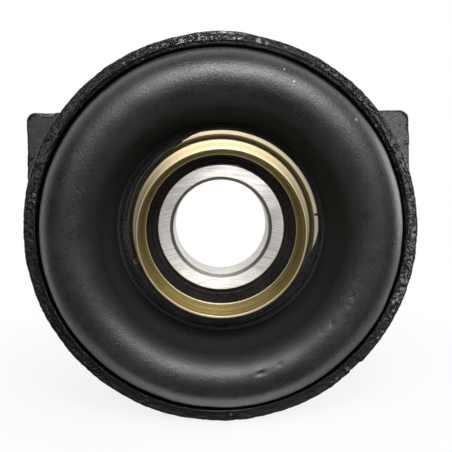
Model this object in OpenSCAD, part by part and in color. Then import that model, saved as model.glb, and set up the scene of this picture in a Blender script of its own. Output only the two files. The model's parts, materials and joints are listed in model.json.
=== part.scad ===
// Driveshaft centre bearing. A sealed ball bearing sits in a plated sleeve, the sleeve hangs in a
// rolled rubber cushion, and the cushion's steel shell is pressed into a cast ring with two lugs.
// The shaft's axis lies along Y with the front towards -Y, Z is up, and the origin is the bearing's centre.

/* [Bearing] */
// Bore of the inner race, which takes the shaft
bore_d = 30; // [26:0.5:34]
// Outside diameter of the outer race
bearing_od = 55; // [51:0.5:62]
// Diameter of one ball
ball_d = 7.14; // [5.6:0.02:8.4]
// Number of balls
ball_count = 11; // [7:1:13]
// Room at each side of the balls, up to the face of the races
side_room = 2.93; // [2.6:0.01:4]
// Chamfer on the corners that seat on the shaft and in the sleeve
race_chamfer = 1; // [0.4:0.1:1.4]
// Chamfer on the inner race's other two corners
land_chamfer = 0.3; // [0.1:0.05:0.6]
// Distance from the ball circle in to the inner race's shoulder
inner_land_gap = 1.35; // [1.1:0.05:1.8]
// Distance from the ball circle out to the outer race's shoulder
outer_land_gap = 1.67; // [1.1:0.01:2]

/* [Cage] */
// Radial width of the cage ribbon
cage_w = 1.5; // [1.2:0.1:1.9]
// Thickness of the cage sheet
cage_t = 0.5; // [0.3:0.05:0.7]
// Shank diameter of a cage rivet
rivet_d = 0.7; // [0.4:0.05:0.9]
// Head diameter of a cage rivet
rivet_head_d = 1.2; // [1:0.05:1.4]
// Height of a rivet head
rivet_head_h = 0.4; // [0.2:0.05:0.6]

/* [Seals] */
// Depth of each seal below the face of the races
seal_recess = 0.6; // [0.3:0.05:0.9]
// Thickness of a seal at its rim
seal_t = 1.3; // [0.9:0.05:1.5]
// Radial depth of the seat that each seal has in the outer race
seal_seat = 1.7; // [1:0.1:2.2]
// Radial width of the thin lip next to the inner race
seal_lip_w = 1.25; // [0.8:0.05:1.6]
// How far the lip lies behind the seal's face
seal_lip_drop = 0.6; // [0.3:0.05:0.8]
// Width and height of the bead round the lip
seal_bead = 0.3; // [0.2:0.05:0.4]

/* [Sleeve] */
// Wall of the sleeve round the outer race
sleeve_wall = 2.7; // [1.6:0.1:3.2]
// Length of the sleeve in front of the outer race
sleeve_front = 2.5; // [2.1:0.1:4]
// Thickness of the turned-in lip behind the outer race
sleeve_lip_t = 1.5; // [1:0.1:2.5]
// Height of the turned-in lip
sleeve_lip_h = 2; // [1:0.1:3]
// Radius on the sleeve's edges and bend
sleeve_edge_r = 0.5; // [0.3:0.1:0.9]
// Chamfer inside the sleeve's mouth, which leads the bearing in
sleeve_lead = 1.4; // [0.3:0.1:1.8]

/* [Front collar] */
// Length of the collar in front of the outer race
collar_len = 14.9; // [11:0.1:18]
// Length of the collar's seat in the sleeve
collar_seat = 2.1; // [1.2:0.1:3]
// Chamfer on the rim of the collar's flange
collar_rim = 0.3; // [0.1:0.05:0.5]
// How far the flange's face rises from its rim to the tube
collar_rise = 0.1; // [0:0.05:1]
// Width of the flange outside the collar's tube
collar_flange_w = 2.7; // [2.3:0.1:3.1]
// How far the flange's bore lies inside the root of the tube
collar_bore_in = 0.18; // [0.1:0.02:0.6]
// How far the tube draws in from the flange to its front edge
collar_draft = 0.1; // [0:0.05:1.5]
// Wall of the collar at its front edge
collar_edge = 0.7; // [0.5:0.05:1]
// How far the inner lip stands in from the tube's outside
collar_lip_h = 2; // [1.4:0.1:3]
// Distance of the inner lip behind the front edge
collar_lip_depth = 8.9; // [6:0.1:10]
// Length of the steeper band that leads to the inner lip
collar_lip_band = 2.5; // [1.5:0.1:4]
// Height of the steeper band
collar_lip_step = 0.6; // [0.3:0.05:0.8]
// Width of the inner lip's land
collar_land = 0.6; // [0.3:0.1:1.2]

/* [Rubber cushion] */
// Thickness of the rubber in the roll
rubber_wall = 4.5; // [3:0.1:5.5]
// Width of the open throat between the sleeve and the roll
throat_w = 3.8; // [3.5:0.1:7]
// Distance of the roll's centre in front of the ring's rim
roll_ahead = 0.2; // [-2:0.1:3]
// Thickness of the rubber skin at the sleeve's front edge
skin_t = 1.4; // [1:0.1:2.5]
// Thickness of the rubber foot on the sleeve
foot_t = 4.4; // [3:0.1:6]
// Thickness of the rubber where it ends inside the shell
tail_t = 2; // [1.2:0.1:3]
// Length of the shell behind the bearing's centre that the rubber covers
tail_len = 14; // [8:0.5:18]
// Film between the rubber and the sleeve that it grips
grip_gap = 0.3; // [0.2:0.05:0.4]

/* [Cast ring] */
// Outside diameter of the ring
ring_od = 112.4; // [104:0.2:126]
// Width of the ring along the shaft
ring_w = 45.6; // [40:0.2:54]
// Wall of the ring
ring_wall = 3.8; // [2.4:0.1:4.5]
// Radius on the ring's outer edges
ring_edge_r = 0.9; // [0.3:0.1:1.4]
// Chamfer on the rim's inner edges
rim_chamfer = 0.5; // [0.2:0.1:1]
// Width of the stop behind the shell
stop_w = 2.6; // [1.5:0.1:4]
// Height of the stop behind the shell
stop_h = 1.1; // [0.6:0.1:1.2]
// Thickness of the cushion's steel shell
shell_t = 1.3; // [0.8:0.1:2]
// Distance of the shell's front edge behind the rim
shell_setback = 2.6; // [1:0.1:5]
// Radius on the shell's edges
shell_edge_r = 0.4; // [0.1:0.05:0.6]

/* [Lugs] */
// Height of the lug tops above the shaft's axis
lug_top = 35; // [30:0.5:40]
// Distance of the lugs' upper side edges inside the ring's widest point
lug_inset = 1.5; // [0.2:0.1:2]
// How far the lugs' side faces lean out from the top down to the shaft's height
lug_flare = 1.4; // [0:0.1:2]
// Distance of the lugs' end faces inside the ring's two rims
lug_setback = 5.8; // [3:0.1:10]
// Radius on the lugs' upper corners
lug_corner_r = 2.4; // [0.5:0.1:4]
// Fillet between a lug's top and the ring
lug_root_r = 2; // [0.5:0.1:4]
// Diameter of the tapped hole in each lug
bolt_d = 6.8; // [5:0.1:7.6]
// Depth of the tapped hole
bolt_depth = 8; // [6:0.1:9]
// Distance of the hole's axis from the lug's upper side edge
bolt_inset = 5.2; // [5:0.1:6]
// Countersink at the mouth of the hole
bolt_sink = 0.5; // [0.2:0.1:1]
// Width of the cast dip in the left lug's front edge
dip_w = 6; // [3:0.1:7]
// Depth of that dip
dip_h = 1.2; // [0.5:0.1:1.6]

/* [Fits] */
// Running clearance between the balls and the races
ball_clear = 0.05; // [0.02:0.01:0.1]
// Running clearance between the seal lips and the inner race
lip_clear = 0.05; // [0.02:0.01:0.1]
// Clearance of a ball in its cage pocket
pocket_clear = 0.12; // [0.05:0.01:0.2]

/* [Hidden] */
$fn = 96;
// Overshoot of a cutting shape past the face that it cuts
over = 1;

ball_r = ball_d / 2;
pitch_r = (bore_d + bearing_od) / 4;
ball_step = 360 / ball_count;
half_w = ball_r + side_room;
groove_r = ball_r + ball_clear;
inner_land_r = pitch_r - inner_land_gap;
outer_land_r = pitch_r + outer_land_gap;
bearing_r = bearing_od / 2;

cage_in_r = pitch_r - cage_w / 2;
cage_out_r = pitch_r + cage_w / 2;
pocket_r = ball_r + pocket_clear;

seal_front = half_w - seal_recess;
seal_back = seal_front - seal_t;
seal_in_r = inner_land_r + lip_clear;
seal_out_r = outer_land_r + seal_seat;

sleeve_r = bearing_r + sleeve_wall;
sleeve_mouth = min(sleeve_lead, sleeve_wall - 2 * sleeve_edge_r);
sleeve_end = half_w + sleeve_front;
sleeve_rear = half_w + sleeve_lip_t;
sleeve_lip_r = bearing_r - sleeve_lip_h;

collar_front = half_w + collar_len;
collar_root_r = bearing_r - collar_flange_w;
collar_bore_r = collar_root_r - collar_bore_in;
collar_front_r = collar_root_r - collar_draft;
collar_flange = half_w + collar_seat + collar_rim;
collar_bead_f = collar_front - collar_edge / 2;
collar_lip_r = collar_front_r - collar_lip_h;
collar_lip_f = collar_front - collar_lip_depth;

ring_r = ring_od / 2;
ring_in_r = ring_r - ring_wall;
rim = ring_w / 2;
shell_in_r = ring_in_r - shell_t;
shell_front = rim - shell_setback;
shell_rear = rim - stop_w;

grip_r = sleeve_r + grip_gap;
roll_in_r = sleeve_r + throat_w;
roll_mid_r = (roll_in_r + shell_in_r) / 2;
roll_r = (shell_in_r - roll_in_r) / 2;
roll_f = rim + roll_ahead;

lug_x = ring_r - lug_inset;
lug_lean = atan(lug_flare / lug_top);
lug_corner_z = lug_top - lug_corner_r;
lug_corner_x = lug_x + lug_flare * lug_corner_r / lug_top - lug_corner_r / cos(lug_lean);
lug_end = rim - lug_setback;
bolt_x = lug_x - bolt_inset;
root_z = lug_top + lug_root_r;
root_x = sqrt(pow(ring_r + lug_root_r, 2) - pow(root_z, 2));
root_share = ring_r / (ring_r + lug_root_r);
dip_r = (pow(dip_w / 2, 2) + pow(dip_h, 2)) / (2 * dip_h);

iron = "#1d1f1e";
shell_steel = "#2b2d2e";
rubber = "#262626";
seal_rubber = "#141414";
plated = "#b59a58";
race_steel = "#b8b3a8";
ball_steel = "#d3d6d8";
cage_steel = "#8f8a80";

BALLS = [for (i = [1:ball_count]) str("ball_", i)];

// Turns a body of revolution from the drawing's Z axis to the shaft's axis, with its top to the front
module on_shaft() {
    rotate([90, 0, 0]) children();
}

// Revolves a section drawn as radius against distance in front of the bearing's centre
module revolved() {
    on_shaft() rotate_extrude() children();
}

// Repeats its children at each ball, or half a step round from each with a shift of 0.5
module round_the_cage(shift = 0) {
    for (i = [0:ball_count - 1]) {
        rotate(90 + (i + shift) * ball_step) translate([pitch_r, 0, 0]) children();
    }
}

// Section of a ring with a radius on all four edges
module soft_section(in_r, out_r, rear, front, edge_r) {
    translate([in_r + edge_r, rear]) square([out_r - in_r - 2 * edge_r, front - rear]);
    translate([in_r, rear + edge_r]) square([out_r - in_r, front - rear - 2 * edge_r]);
    for (r = [in_r + edge_r, out_r - edge_r]) {
        for (f = [rear + edge_r, front - edge_r]) {
            translate([r, f]) circle(edge_r);
        }
    }
}

// Cross-section of both lugs as one bar through the ring, with leaning sides and rounded upper corners
module lug_section() {
    foot_x = lug_x + lug_flare;
    turn_x = lug_corner_x + lug_corner_r * cos(lug_lean);
    turn_z = lug_corner_z + lug_corner_r * sin(lug_lean);
    polygon([
        [-foot_x, 0],
        [foot_x, 0],
        [turn_x, turn_z],
        [lug_corner_x, lug_top],
        [-lug_corner_x, lug_top],
        [-turn_x, turn_z]
    ]);
    for (side = [-1, 1]) {
        translate([side * lug_corner_x, lug_corner_z]) circle(lug_corner_r);
    }
}

// Filler in the corner between a lug's top and the ring, hollowed to a fillet
module lug_root() {
    difference() {
        polygon([
            [root_x * root_share, root_z * root_share],
            [root_x * root_share, lug_top - over],
            [root_x, lug_top - over],
            [root_x, root_z]
        ]);
        translate([root_x, root_z]) circle(lug_root_r);
    }
}

// Tapped hole in a lug's top, with a countersunk mouth
module bolt_hole() {
    translate([0, 0, lug_top - bolt_depth]) cylinder(d = bolt_d, h = bolt_depth + over);
    translate([0, 0, lug_top - bolt_sink])
        cylinder(d1 = bolt_d, d2 = bolt_d + 2 * bolt_sink, h = bolt_sink);
}

module housing() {
    color(iron) difference() {
        union() {
            revolved() soft_section(ring_in_r - stop_h, ring_r, -rim, rim, ring_edge_r);
            on_shaft() linear_extrude(2 * lug_end, center = true) {
                lug_section();
                lug_root();
                mirror([1, 0]) lug_root();
            }
        }
        on_shaft() translate([0, 0, -shell_rear]) cylinder(r = ring_in_r, h = shell_rear + rim + over);
        on_shaft() cylinder(r = ring_in_r - stop_h, h = 2 * (rim + over), center = true);
        on_shaft() translate([0, 0, rim - rim_chamfer])
            cylinder(r1 = ring_in_r, r2 = ring_in_r + rim_chamfer, h = rim_chamfer);
        for (side = [-1, 1]) {
            translate([side * bolt_x, 0, 0]) bolt_hole();
        }
        translate([-bolt_x, -lug_end, lug_top - dip_h + dip_r]) sphere(dip_r);
    }
}

module cushion_shell() {
    color(shell_steel) revolved()
        soft_section(shell_in_r, ring_in_r, -shell_rear, shell_front, shell_edge_r);
}

module rubber_cushion() {
    color(rubber) revolved() {
        difference() {
            translate([roll_mid_r, roll_f]) circle(roll_r);
            translate([roll_mid_r, roll_f]) circle(roll_r - rubber_wall);
            translate([0, roll_f - 2 * roll_r]) square([shell_in_r + over, 2 * roll_r]);
        }
        polygon([
            [roll_in_r + rubber_wall, roll_f],
            [roll_in_r, roll_f],
            [grip_r + skin_t, sleeve_end + skin_t / 2],
            [grip_r, sleeve_end],
            [grip_r, -sleeve_rear],
            [grip_r + foot_t, -sleeve_rear]
        ]);
        polygon([
            [shell_in_r, roll_f],
            [shell_in_r - rubber_wall, roll_f],
            [shell_in_r - tail_t, -tail_len],
            [shell_in_r, -tail_len]
        ]);
    }
}

module bearing_sleeve() {
    color(plated) revolved() difference() {
        soft_section(sleeve_lip_r, sleeve_r, -sleeve_rear, sleeve_end, sleeve_edge_r);
        translate([0, -half_w]) square([bearing_r, half_w + sleeve_end + over]);
        polygon([
            [bearing_r - over, sleeve_end - sleeve_mouth - over],
            [bearing_r + sleeve_mouth + over, sleeve_end + over],
            [bearing_r - over, sleeve_end + over]
        ]);
    }
}

module front_collar() {
    color(plated) revolved() {
        translate([collar_front_r - collar_edge / 2, collar_bead_f]) circle(collar_edge / 2);
        polygon([
            [collar_front_r, collar_bead_f],
            [collar_front_r - collar_edge, collar_bead_f],
            [collar_lip_r + collar_lip_step, collar_lip_f + collar_lip_band],
            [collar_lip_r, collar_lip_f],
            [collar_lip_r, collar_lip_f - collar_land],
            [collar_bore_r, half_w + collar_seat],
            [collar_bore_r, half_w],
            [bearing_r, half_w],
            [bearing_r, half_w + collar_seat],
            [bearing_r - collar_rim, collar_flange],
            [collar_root_r, collar_flange + collar_rise]
        ]);
    }
}

module outer_race() {
    color(race_steel) revolved() difference() {
        polygon([
            [outer_land_r, seal_back],
            [seal_out_r, seal_back],
            [seal_out_r, half_w],
            [bearing_r - race_chamfer, half_w],
            [bearing_r, half_w - race_chamfer],
            [bearing_r, race_chamfer - half_w],
            [bearing_r - race_chamfer, -half_w],
            [seal_out_r, -half_w],
            [seal_out_r, -seal_back],
            [outer_land_r, -seal_back]
        ]);
        translate([pitch_r, 0]) circle(groove_r);
    }
}

module inner_race() {
    bore_r = bore_d / 2;
    color(race_steel) revolved() difference() {
        polygon([
            [bore_r, half_w - race_chamfer],
            [bore_r + race_chamfer, half_w],
            [inner_land_r - land_chamfer, half_w],
            [inner_land_r, half_w - land_chamfer],
            [inner_land_r, land_chamfer - half_w],
            [inner_land_r - land_chamfer, -half_w],
            [bore_r + race_chamfer, -half_w],
            [bore_r, race_chamfer - half_w]
        ]);
        translate([pitch_r, 0]) circle(groove_r);
    }
}

// One half of the cage: a flat ribbon that swells over each ball, with a hole at each rivet
module cage_half() {
    difference() {
        intersection() {
            difference() {
                cylinder(r = cage_out_r, h = pocket_r + cage_t + over);
                translate([0, 0, -over]) cylinder(r = cage_in_r, h = pocket_r + cage_t + 3 * over);
            }
            union() {
                translate([0, 0, -over]) cylinder(r = cage_out_r + over, h = cage_t + over);
                round_the_cage() sphere(pocket_r + cage_t);
            }
        }
        round_the_cage() sphere(pocket_r);
        round_the_cage(0.5) cylinder(d = rivet_d, h = 2 * (cage_t + over), center = true);
    }
}

module cage_front() {
    color(cage_steel) on_shaft() cage_half();
}

module cage_rear() {
    color(cage_steel) on_shaft() mirror([0, 0, 1]) cage_half();
}

module cage_rivets() {
    color(cage_steel) on_shaft() round_the_cage(0.5) {
        cylinder(d = rivet_d, h = 2 * cage_t, center = true);
        for (end = [0, 1]) {
            mirror([0, 0, end]) translate([0, 0, cage_t]) cylinder(d = rivet_head_d, h = rivet_head_h);
        }
    }
}

module ball(place) {
    color(ball_steel) on_shaft() rotate(90 + (place - 1) * ball_step)
        translate([pitch_r, 0, 0]) sphere(ball_r);
}

// Seal with a thin lip at the inner race, a bead round the lip and a thick rim in the outer race
module seal() {
    lip_r = seal_in_r + seal_lip_w;
    revolved() polygon([
        [seal_in_r, seal_front - seal_lip_drop],
        [lip_r, seal_front - seal_lip_drop],
        [lip_r, seal_front + seal_bead],
        [lip_r + seal_bead, seal_front + seal_bead],
        [lip_r + 2 * seal_bead, seal_front],
        [seal_out_r, seal_front],
        [seal_out_r, seal_back],
        [lip_r, seal_back],
        [seal_in_r, seal_back + seal_bead]
    ]);
}

module front_seal() {
    color(seal_rubber) seal();
}

module rear_seal() {
    color(seal_rubber) mirror([0, 1, 0]) seal();
}

housing();
cushion_shell();
rubber_cushion();
bearing_sleeve();
front_collar();
outer_race();
inner_race();
cage_front();
cage_rear();
cage_rivets();
front_seal();
rear_seal();
for (i = [1:ball_count]) {
    ball(i);
}
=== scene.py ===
import json
import logging
from dataclasses import dataclass
from enum import Enum
from math import cos, radians, sin

import bmesh
import bpy
import numpy as np
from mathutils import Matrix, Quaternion, Vector


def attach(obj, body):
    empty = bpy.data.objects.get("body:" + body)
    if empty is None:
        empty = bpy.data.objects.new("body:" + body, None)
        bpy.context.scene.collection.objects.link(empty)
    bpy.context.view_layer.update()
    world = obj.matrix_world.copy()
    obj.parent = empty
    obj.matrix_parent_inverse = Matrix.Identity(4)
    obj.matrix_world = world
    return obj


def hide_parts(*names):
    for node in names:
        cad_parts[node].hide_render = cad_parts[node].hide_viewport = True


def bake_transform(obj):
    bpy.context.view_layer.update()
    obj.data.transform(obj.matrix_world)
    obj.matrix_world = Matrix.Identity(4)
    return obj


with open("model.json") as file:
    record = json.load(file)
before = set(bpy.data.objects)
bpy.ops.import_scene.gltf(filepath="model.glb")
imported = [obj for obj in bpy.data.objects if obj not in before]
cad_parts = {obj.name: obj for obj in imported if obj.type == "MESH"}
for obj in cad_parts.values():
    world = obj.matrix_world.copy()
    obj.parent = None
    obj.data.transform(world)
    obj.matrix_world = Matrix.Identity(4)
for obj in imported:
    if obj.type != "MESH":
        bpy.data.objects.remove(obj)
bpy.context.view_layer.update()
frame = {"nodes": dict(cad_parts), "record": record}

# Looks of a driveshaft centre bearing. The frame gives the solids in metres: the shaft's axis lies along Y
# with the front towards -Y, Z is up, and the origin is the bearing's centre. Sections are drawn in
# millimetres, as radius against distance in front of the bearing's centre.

MM = 0.001
NO_LENGTH = 1e-4  # millimetres
STRIP = "strip"
LOG = logging.getLogger("centre_bearing")

Material = bpy.types.Material
Node = bpy.types.Node
NodeTree = bpy.types.NodeTree
Object = bpy.types.Object
Socket = bpy.types.NodeSocket
Colour = tuple[float, float, float, float]
Place = tuple[float, float, float]
Span = tuple[float, float]


class Body(Enum):
    """Bodies of the frame that pieces ride on."""

    RING = "ring"
    CARRIER = "carrier"
    SHAFT_RACE = "shaft_race"
    BALL_SET = "ball_set"


class Slot(Enum):
    """Material slots of the record."""

    CASTING = "painted_casting"
    SHELL = "painted_shell"
    CUSHION = "cushion_rubber"
    PLATED = "plated_steel"
    RACE = "race_steel"
    SEAL = "seal_rubber"


class Piece(Enum):
    """Pieces that this script makes."""

    RING = "cast_ring"
    SHELL = "pressed_shell"
    CUSHION = "rolled_cushion"
    FLASH = "mould_flash"
    SLEEVE = "plated_sleeve"
    COLLAR = "plated_collar"
    OUTER_RACE = "ground_outer_race"
    INNER_RACE = "ground_inner_race"
    FRONT_SEAL = "front_lip_seal"
    REAR_SEAL = "rear_lip_seal"


# Groups of pieces that some lamps light alone.
RING = (Piece.RING,)
ROLL = (Piece.CUSHION,)
PLATED = (Piece.COLLAR, Piece.SLEEVE)


@dataclass(frozen=True)
class Waves:
    """Sines of many directions and lengths, summed to a lumpy field that is the same on each run."""

    seed: int
    shortest: float
    longest: float
    count: int = 28
    gain: float = 0.8

    def at(self, points: np.ndarray) -> np.ndarray:
        """Value of the field: the sum of a * sin(2 pi p.d / length + phase), where long waves are stronger.

        Args:
            points: places in millimetres, with x, y, z last.

        Returns:
            One value a place, nearly all between -1 and 1.
        """
        rng = np.random.default_rng(self.seed)
        ways = rng.normal(size=(3, self.count))
        ways /= np.linalg.norm(ways, axis=0)
        lengths = np.geomspace(self.shortest, self.longest, self.count)
        phases = rng.uniform(0.0, 2.0 * np.pi, self.count)
        strengths = np.sqrt(lengths)
        strengths /= np.sqrt(np.sum(strengths**2) / 2.0)
        waves = np.sin(points @ (2.0 * np.pi * ways / lengths) + phases)
        return np.tanh(waves @ strengths * self.gain)


def smooth_step(value: np.ndarray, low: float, high: float) -> np.ndarray:
    """Goes from 0 at low to 1 at high along 3t^2 - 2t^3.

    Args:
        value: the numbers to map.
        low: value that gives 0.
        high: value that gives 1.

    Returns:
        The mapped numbers.
    """
    share = np.clip((value - low) / (high - low), 0.0, 1.0)
    return share * share * (3.0 - 2.0 * share)


def angle_from(theta: np.ndarray, middle: float) -> np.ndarray:
    """Distance in degrees of each angle from a middle angle, the short way round."""
    return np.abs((np.degrees(theta) - middle + 180.0) % 360.0 - 180.0)


@dataclass(frozen=True)
class Patch:
    """A stretch round the shaft, in degrees: at full strength near its middle, and fading at both ends."""

    middle: float
    full: float
    none: float
    strength: float

    def at(self, theta: np.ndarray, shift: np.ndarray | float = 0.0) -> np.ndarray:
        """Strength at each angle: all of it within full of the middle, nothing beyond none.

        Args:
            theta: angles in radians.
            shift: degrees that bring an angle further from the middle, for uneven ends.

        Returns:
            One strength an angle.
        """
        away = angle_from(theta, self.middle) + shift
        return self.strength * (1.0 - smooth_step(away, self.full, self.none))


def on_shaft(r: np.ndarray, f: np.ndarray, theta: np.ndarray) -> np.ndarray:
    """Places of (radius, distance in front, angle): x = r cos, y = -f, z = r sin.

    Args:
        r: radius from the shaft's axis in millimetres.
        f: distance in front of the bearing's centre in millimetres.
        theta: angle from +X towards +Z in radians.

    Returns:
        Places in millimetres, with x, y, z last.
    """
    r, f, theta = np.broadcast_arrays(r, f, theta)
    return np.stack([r * np.cos(theta), -f, r * np.sin(theta)], axis=-1)


def grid_object(name: str, points: np.ndarray) -> Object:
    """Makes a closed piece from a grid that joins up both ways, with its faces turned outwards.

    Its UV map, STRIP, has u along the rows and v along the columns, each from 0 to 1.

    Args:
        name: name of the piece.
        points: places in millimetres as rows, columns, xyz.

    Returns:
        The new object, which rides on nothing yet.
    """
    rows, cols = points.shape[:2]
    row = np.arange(rows)[:, None]
    col = np.arange(cols)[None, :]
    steps = [(row, col), (row, col + 1), (row + 1, col + 1), (row + 1, col)]
    quads = np.stack([i % rows * cols + j % cols for i, j in steps], axis=-1).reshape(-1, 4)
    strip = np.stack([np.stack(np.broadcast_arrays(i / rows, j / cols), axis=-1) for i, j in steps], axis=2)
    strip = strip.reshape(-1, 4, 2)
    flat = points.reshape(-1, 3) * MM
    a, b, c, d = (flat[quads[:, k]] for k in range(4))
    volume = np.sum(a * np.cross(b, c)) + np.sum(a * np.cross(c, d))
    if volume < 0.0:
        quads, strip = quads[:, ::-1], strip[:, ::-1]
    mesh = bpy.data.meshes.new(name)
    mesh.vertices.add(len(flat))
    mesh.vertices.foreach_set("co", flat.ravel())
    mesh.loops.add(quads.size)
    mesh.loops.foreach_set("vertex_index", quads.ravel().astype(np.int32))
    mesh.polygons.add(len(quads))
    mesh.polygons.foreach_set("loop_start", np.arange(0, quads.size, 4, dtype=np.int32))
    mesh.update(calc_edges=True)
    mesh.uv_layers.new(name=STRIP).uv.foreach_set("vector", strip.astype(np.float32).ravel())
    mesh.validate()
    mesh.shade_smooth()
    piece = bpy.data.objects.new(name, mesh)
    bpy.context.scene.collection.objects.link(piece)
    return piece


def merge_doubles(piece: Object, distance: float = 2e-6) -> None:
    """Joins places that fall together and drops the faces that have no area.

    Args:
        piece: the mesh object to clean.
        distance: how close two places are to be one, in metres.
    """
    work = bmesh.new()
    work.from_mesh(piece.data)
    bmesh.ops.remove_doubles(work, verts=work.verts, dist=distance)
    bmesh.ops.dissolve_degenerate(work, edges=work.edges, dist=distance)
    work.to_mesh(piece.data)
    work.free()
    piece.data.shade_smooth()


def cut(piece: Object, cutter: Object) -> None:
    """Takes a cutter's room out of a piece for good, and throws the cutter away.

    Args:
        piece: the object to cut.
        cutter: the closed mesh object that says what goes.
    """
    tool = piece.modifiers.new("cut", "BOOLEAN")
    tool.operation = "DIFFERENCE"
    tool.solver = "EXACT"
    tool.object = cutter
    graph = bpy.context.evaluated_depsgraph_get()
    done = bpy.data.meshes.new_from_object(piece.evaluated_get(graph))
    piece.modifiers.clear()
    old = piece.data
    piece.data = done
    done.name = piece.name
    bpy.data.meshes.remove(old)
    bpy.data.objects.remove(cutter)


@dataclass(frozen=True)
class Corner:
    """Corner of a section: radius from the axis, distance in front, and how softly it is rounded."""

    r: float
    f: float
    soft: float = 0.0


@dataclass(frozen=True)
class Section:
    """Closed section of a turned part, given by its corners.

    A rounding takes up to side_share of each side next to it, and has bend_points points.
    """

    corners: tuple[Corner, ...]
    step: float = 0.8
    side_share: float = 0.48
    bend_points: int = 7

    def outline(self) -> np.ndarray:
        """Rounds each corner with a parabola between its two sides, then spreads points along the outline.

        Returns:
            Points of the closed outline as (radius, distance in front) rows.
        """
        spot = np.array([(c.r, c.f) for c in self.corners])
        soft = np.array([c.soft for c in self.corners])
        back = np.roll(spot, 1, axis=0) - spot
        ahead = np.roll(spot, -1, axis=0) - spot
        back_len = np.linalg.norm(back, axis=1)
        ahead_len = np.linalg.norm(ahead, axis=1)
        back /= back_len[:, None]
        ahead /= ahead_len[:, None]
        half = 0.5 * np.arccos(np.clip(np.sum(back * ahead, axis=1), -1.0, 1.0))
        most = self.side_share * np.minimum(back_len, ahead_len)
        reach = np.minimum(soft / np.tan(half), most)[:, None, None]
        t = np.linspace(0.0, 1.0, self.bend_points)[None, :, None]
        first = spot[:, None] + back[:, None] * reach
        last = spot[:, None] + ahead[:, None] * reach
        arcs = (1 - t) ** 2 * first + 2 * t * (1 - t) * spot[:, None] + t**2 * last
        return spread(arcs.reshape(-1, 2), self.step)


def arc(r: float, f: float, radius: float, start: float, end: float, count: int) -> tuple[Corner, ...]:
    """Corners along a circle in the section: r + radius cos, f + radius sin.

    Args:
        r: radius of the circle's middle from the shaft's axis.
        f: distance of its middle in front.
        radius: the circle's own radius.
        start: first angle in degrees.
        end: last angle in degrees.
        count: how many corners.

    Returns:
        The corners, in order.
    """
    turn = np.radians(np.linspace(start, end, count))
    spots = np.stack([r + radius * np.cos(turn), f + radius * np.sin(turn)], axis=-1)
    return tuple(Corner(float(a), float(b)) for a, b in spots)


def spread(points: np.ndarray, step: float) -> np.ndarray:
    """Keeps the points of a closed outline and adds more along its long sides.

    Args:
        points: (radius, distance in front) rows, in order round the outline.
        step: longest side that is left whole, in millimetres.

    Returns:
        The denser outline.
    """
    ring = np.vstack([points, points[:1]])
    sides = np.linalg.norm(np.diff(ring, axis=0), axis=1)
    keep = np.append(sides > NO_LENGTH, True)
    ring, along = ring[keep], np.append(0.0, np.cumsum(sides))[keep]
    parts = np.ceil(np.diff(along) / step).astype(int)
    start = np.repeat(along[:-1], parts)
    size = np.repeat(np.diff(along) / parts, parts)
    place = np.arange(parts.sum()) - np.repeat(np.cumsum(parts) - parts, parts)
    where = start + size * place
    return np.stack([np.interp(where, along, ring[:, 0]), np.interp(where, along, ring[:, 1])], axis=-1)


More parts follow.
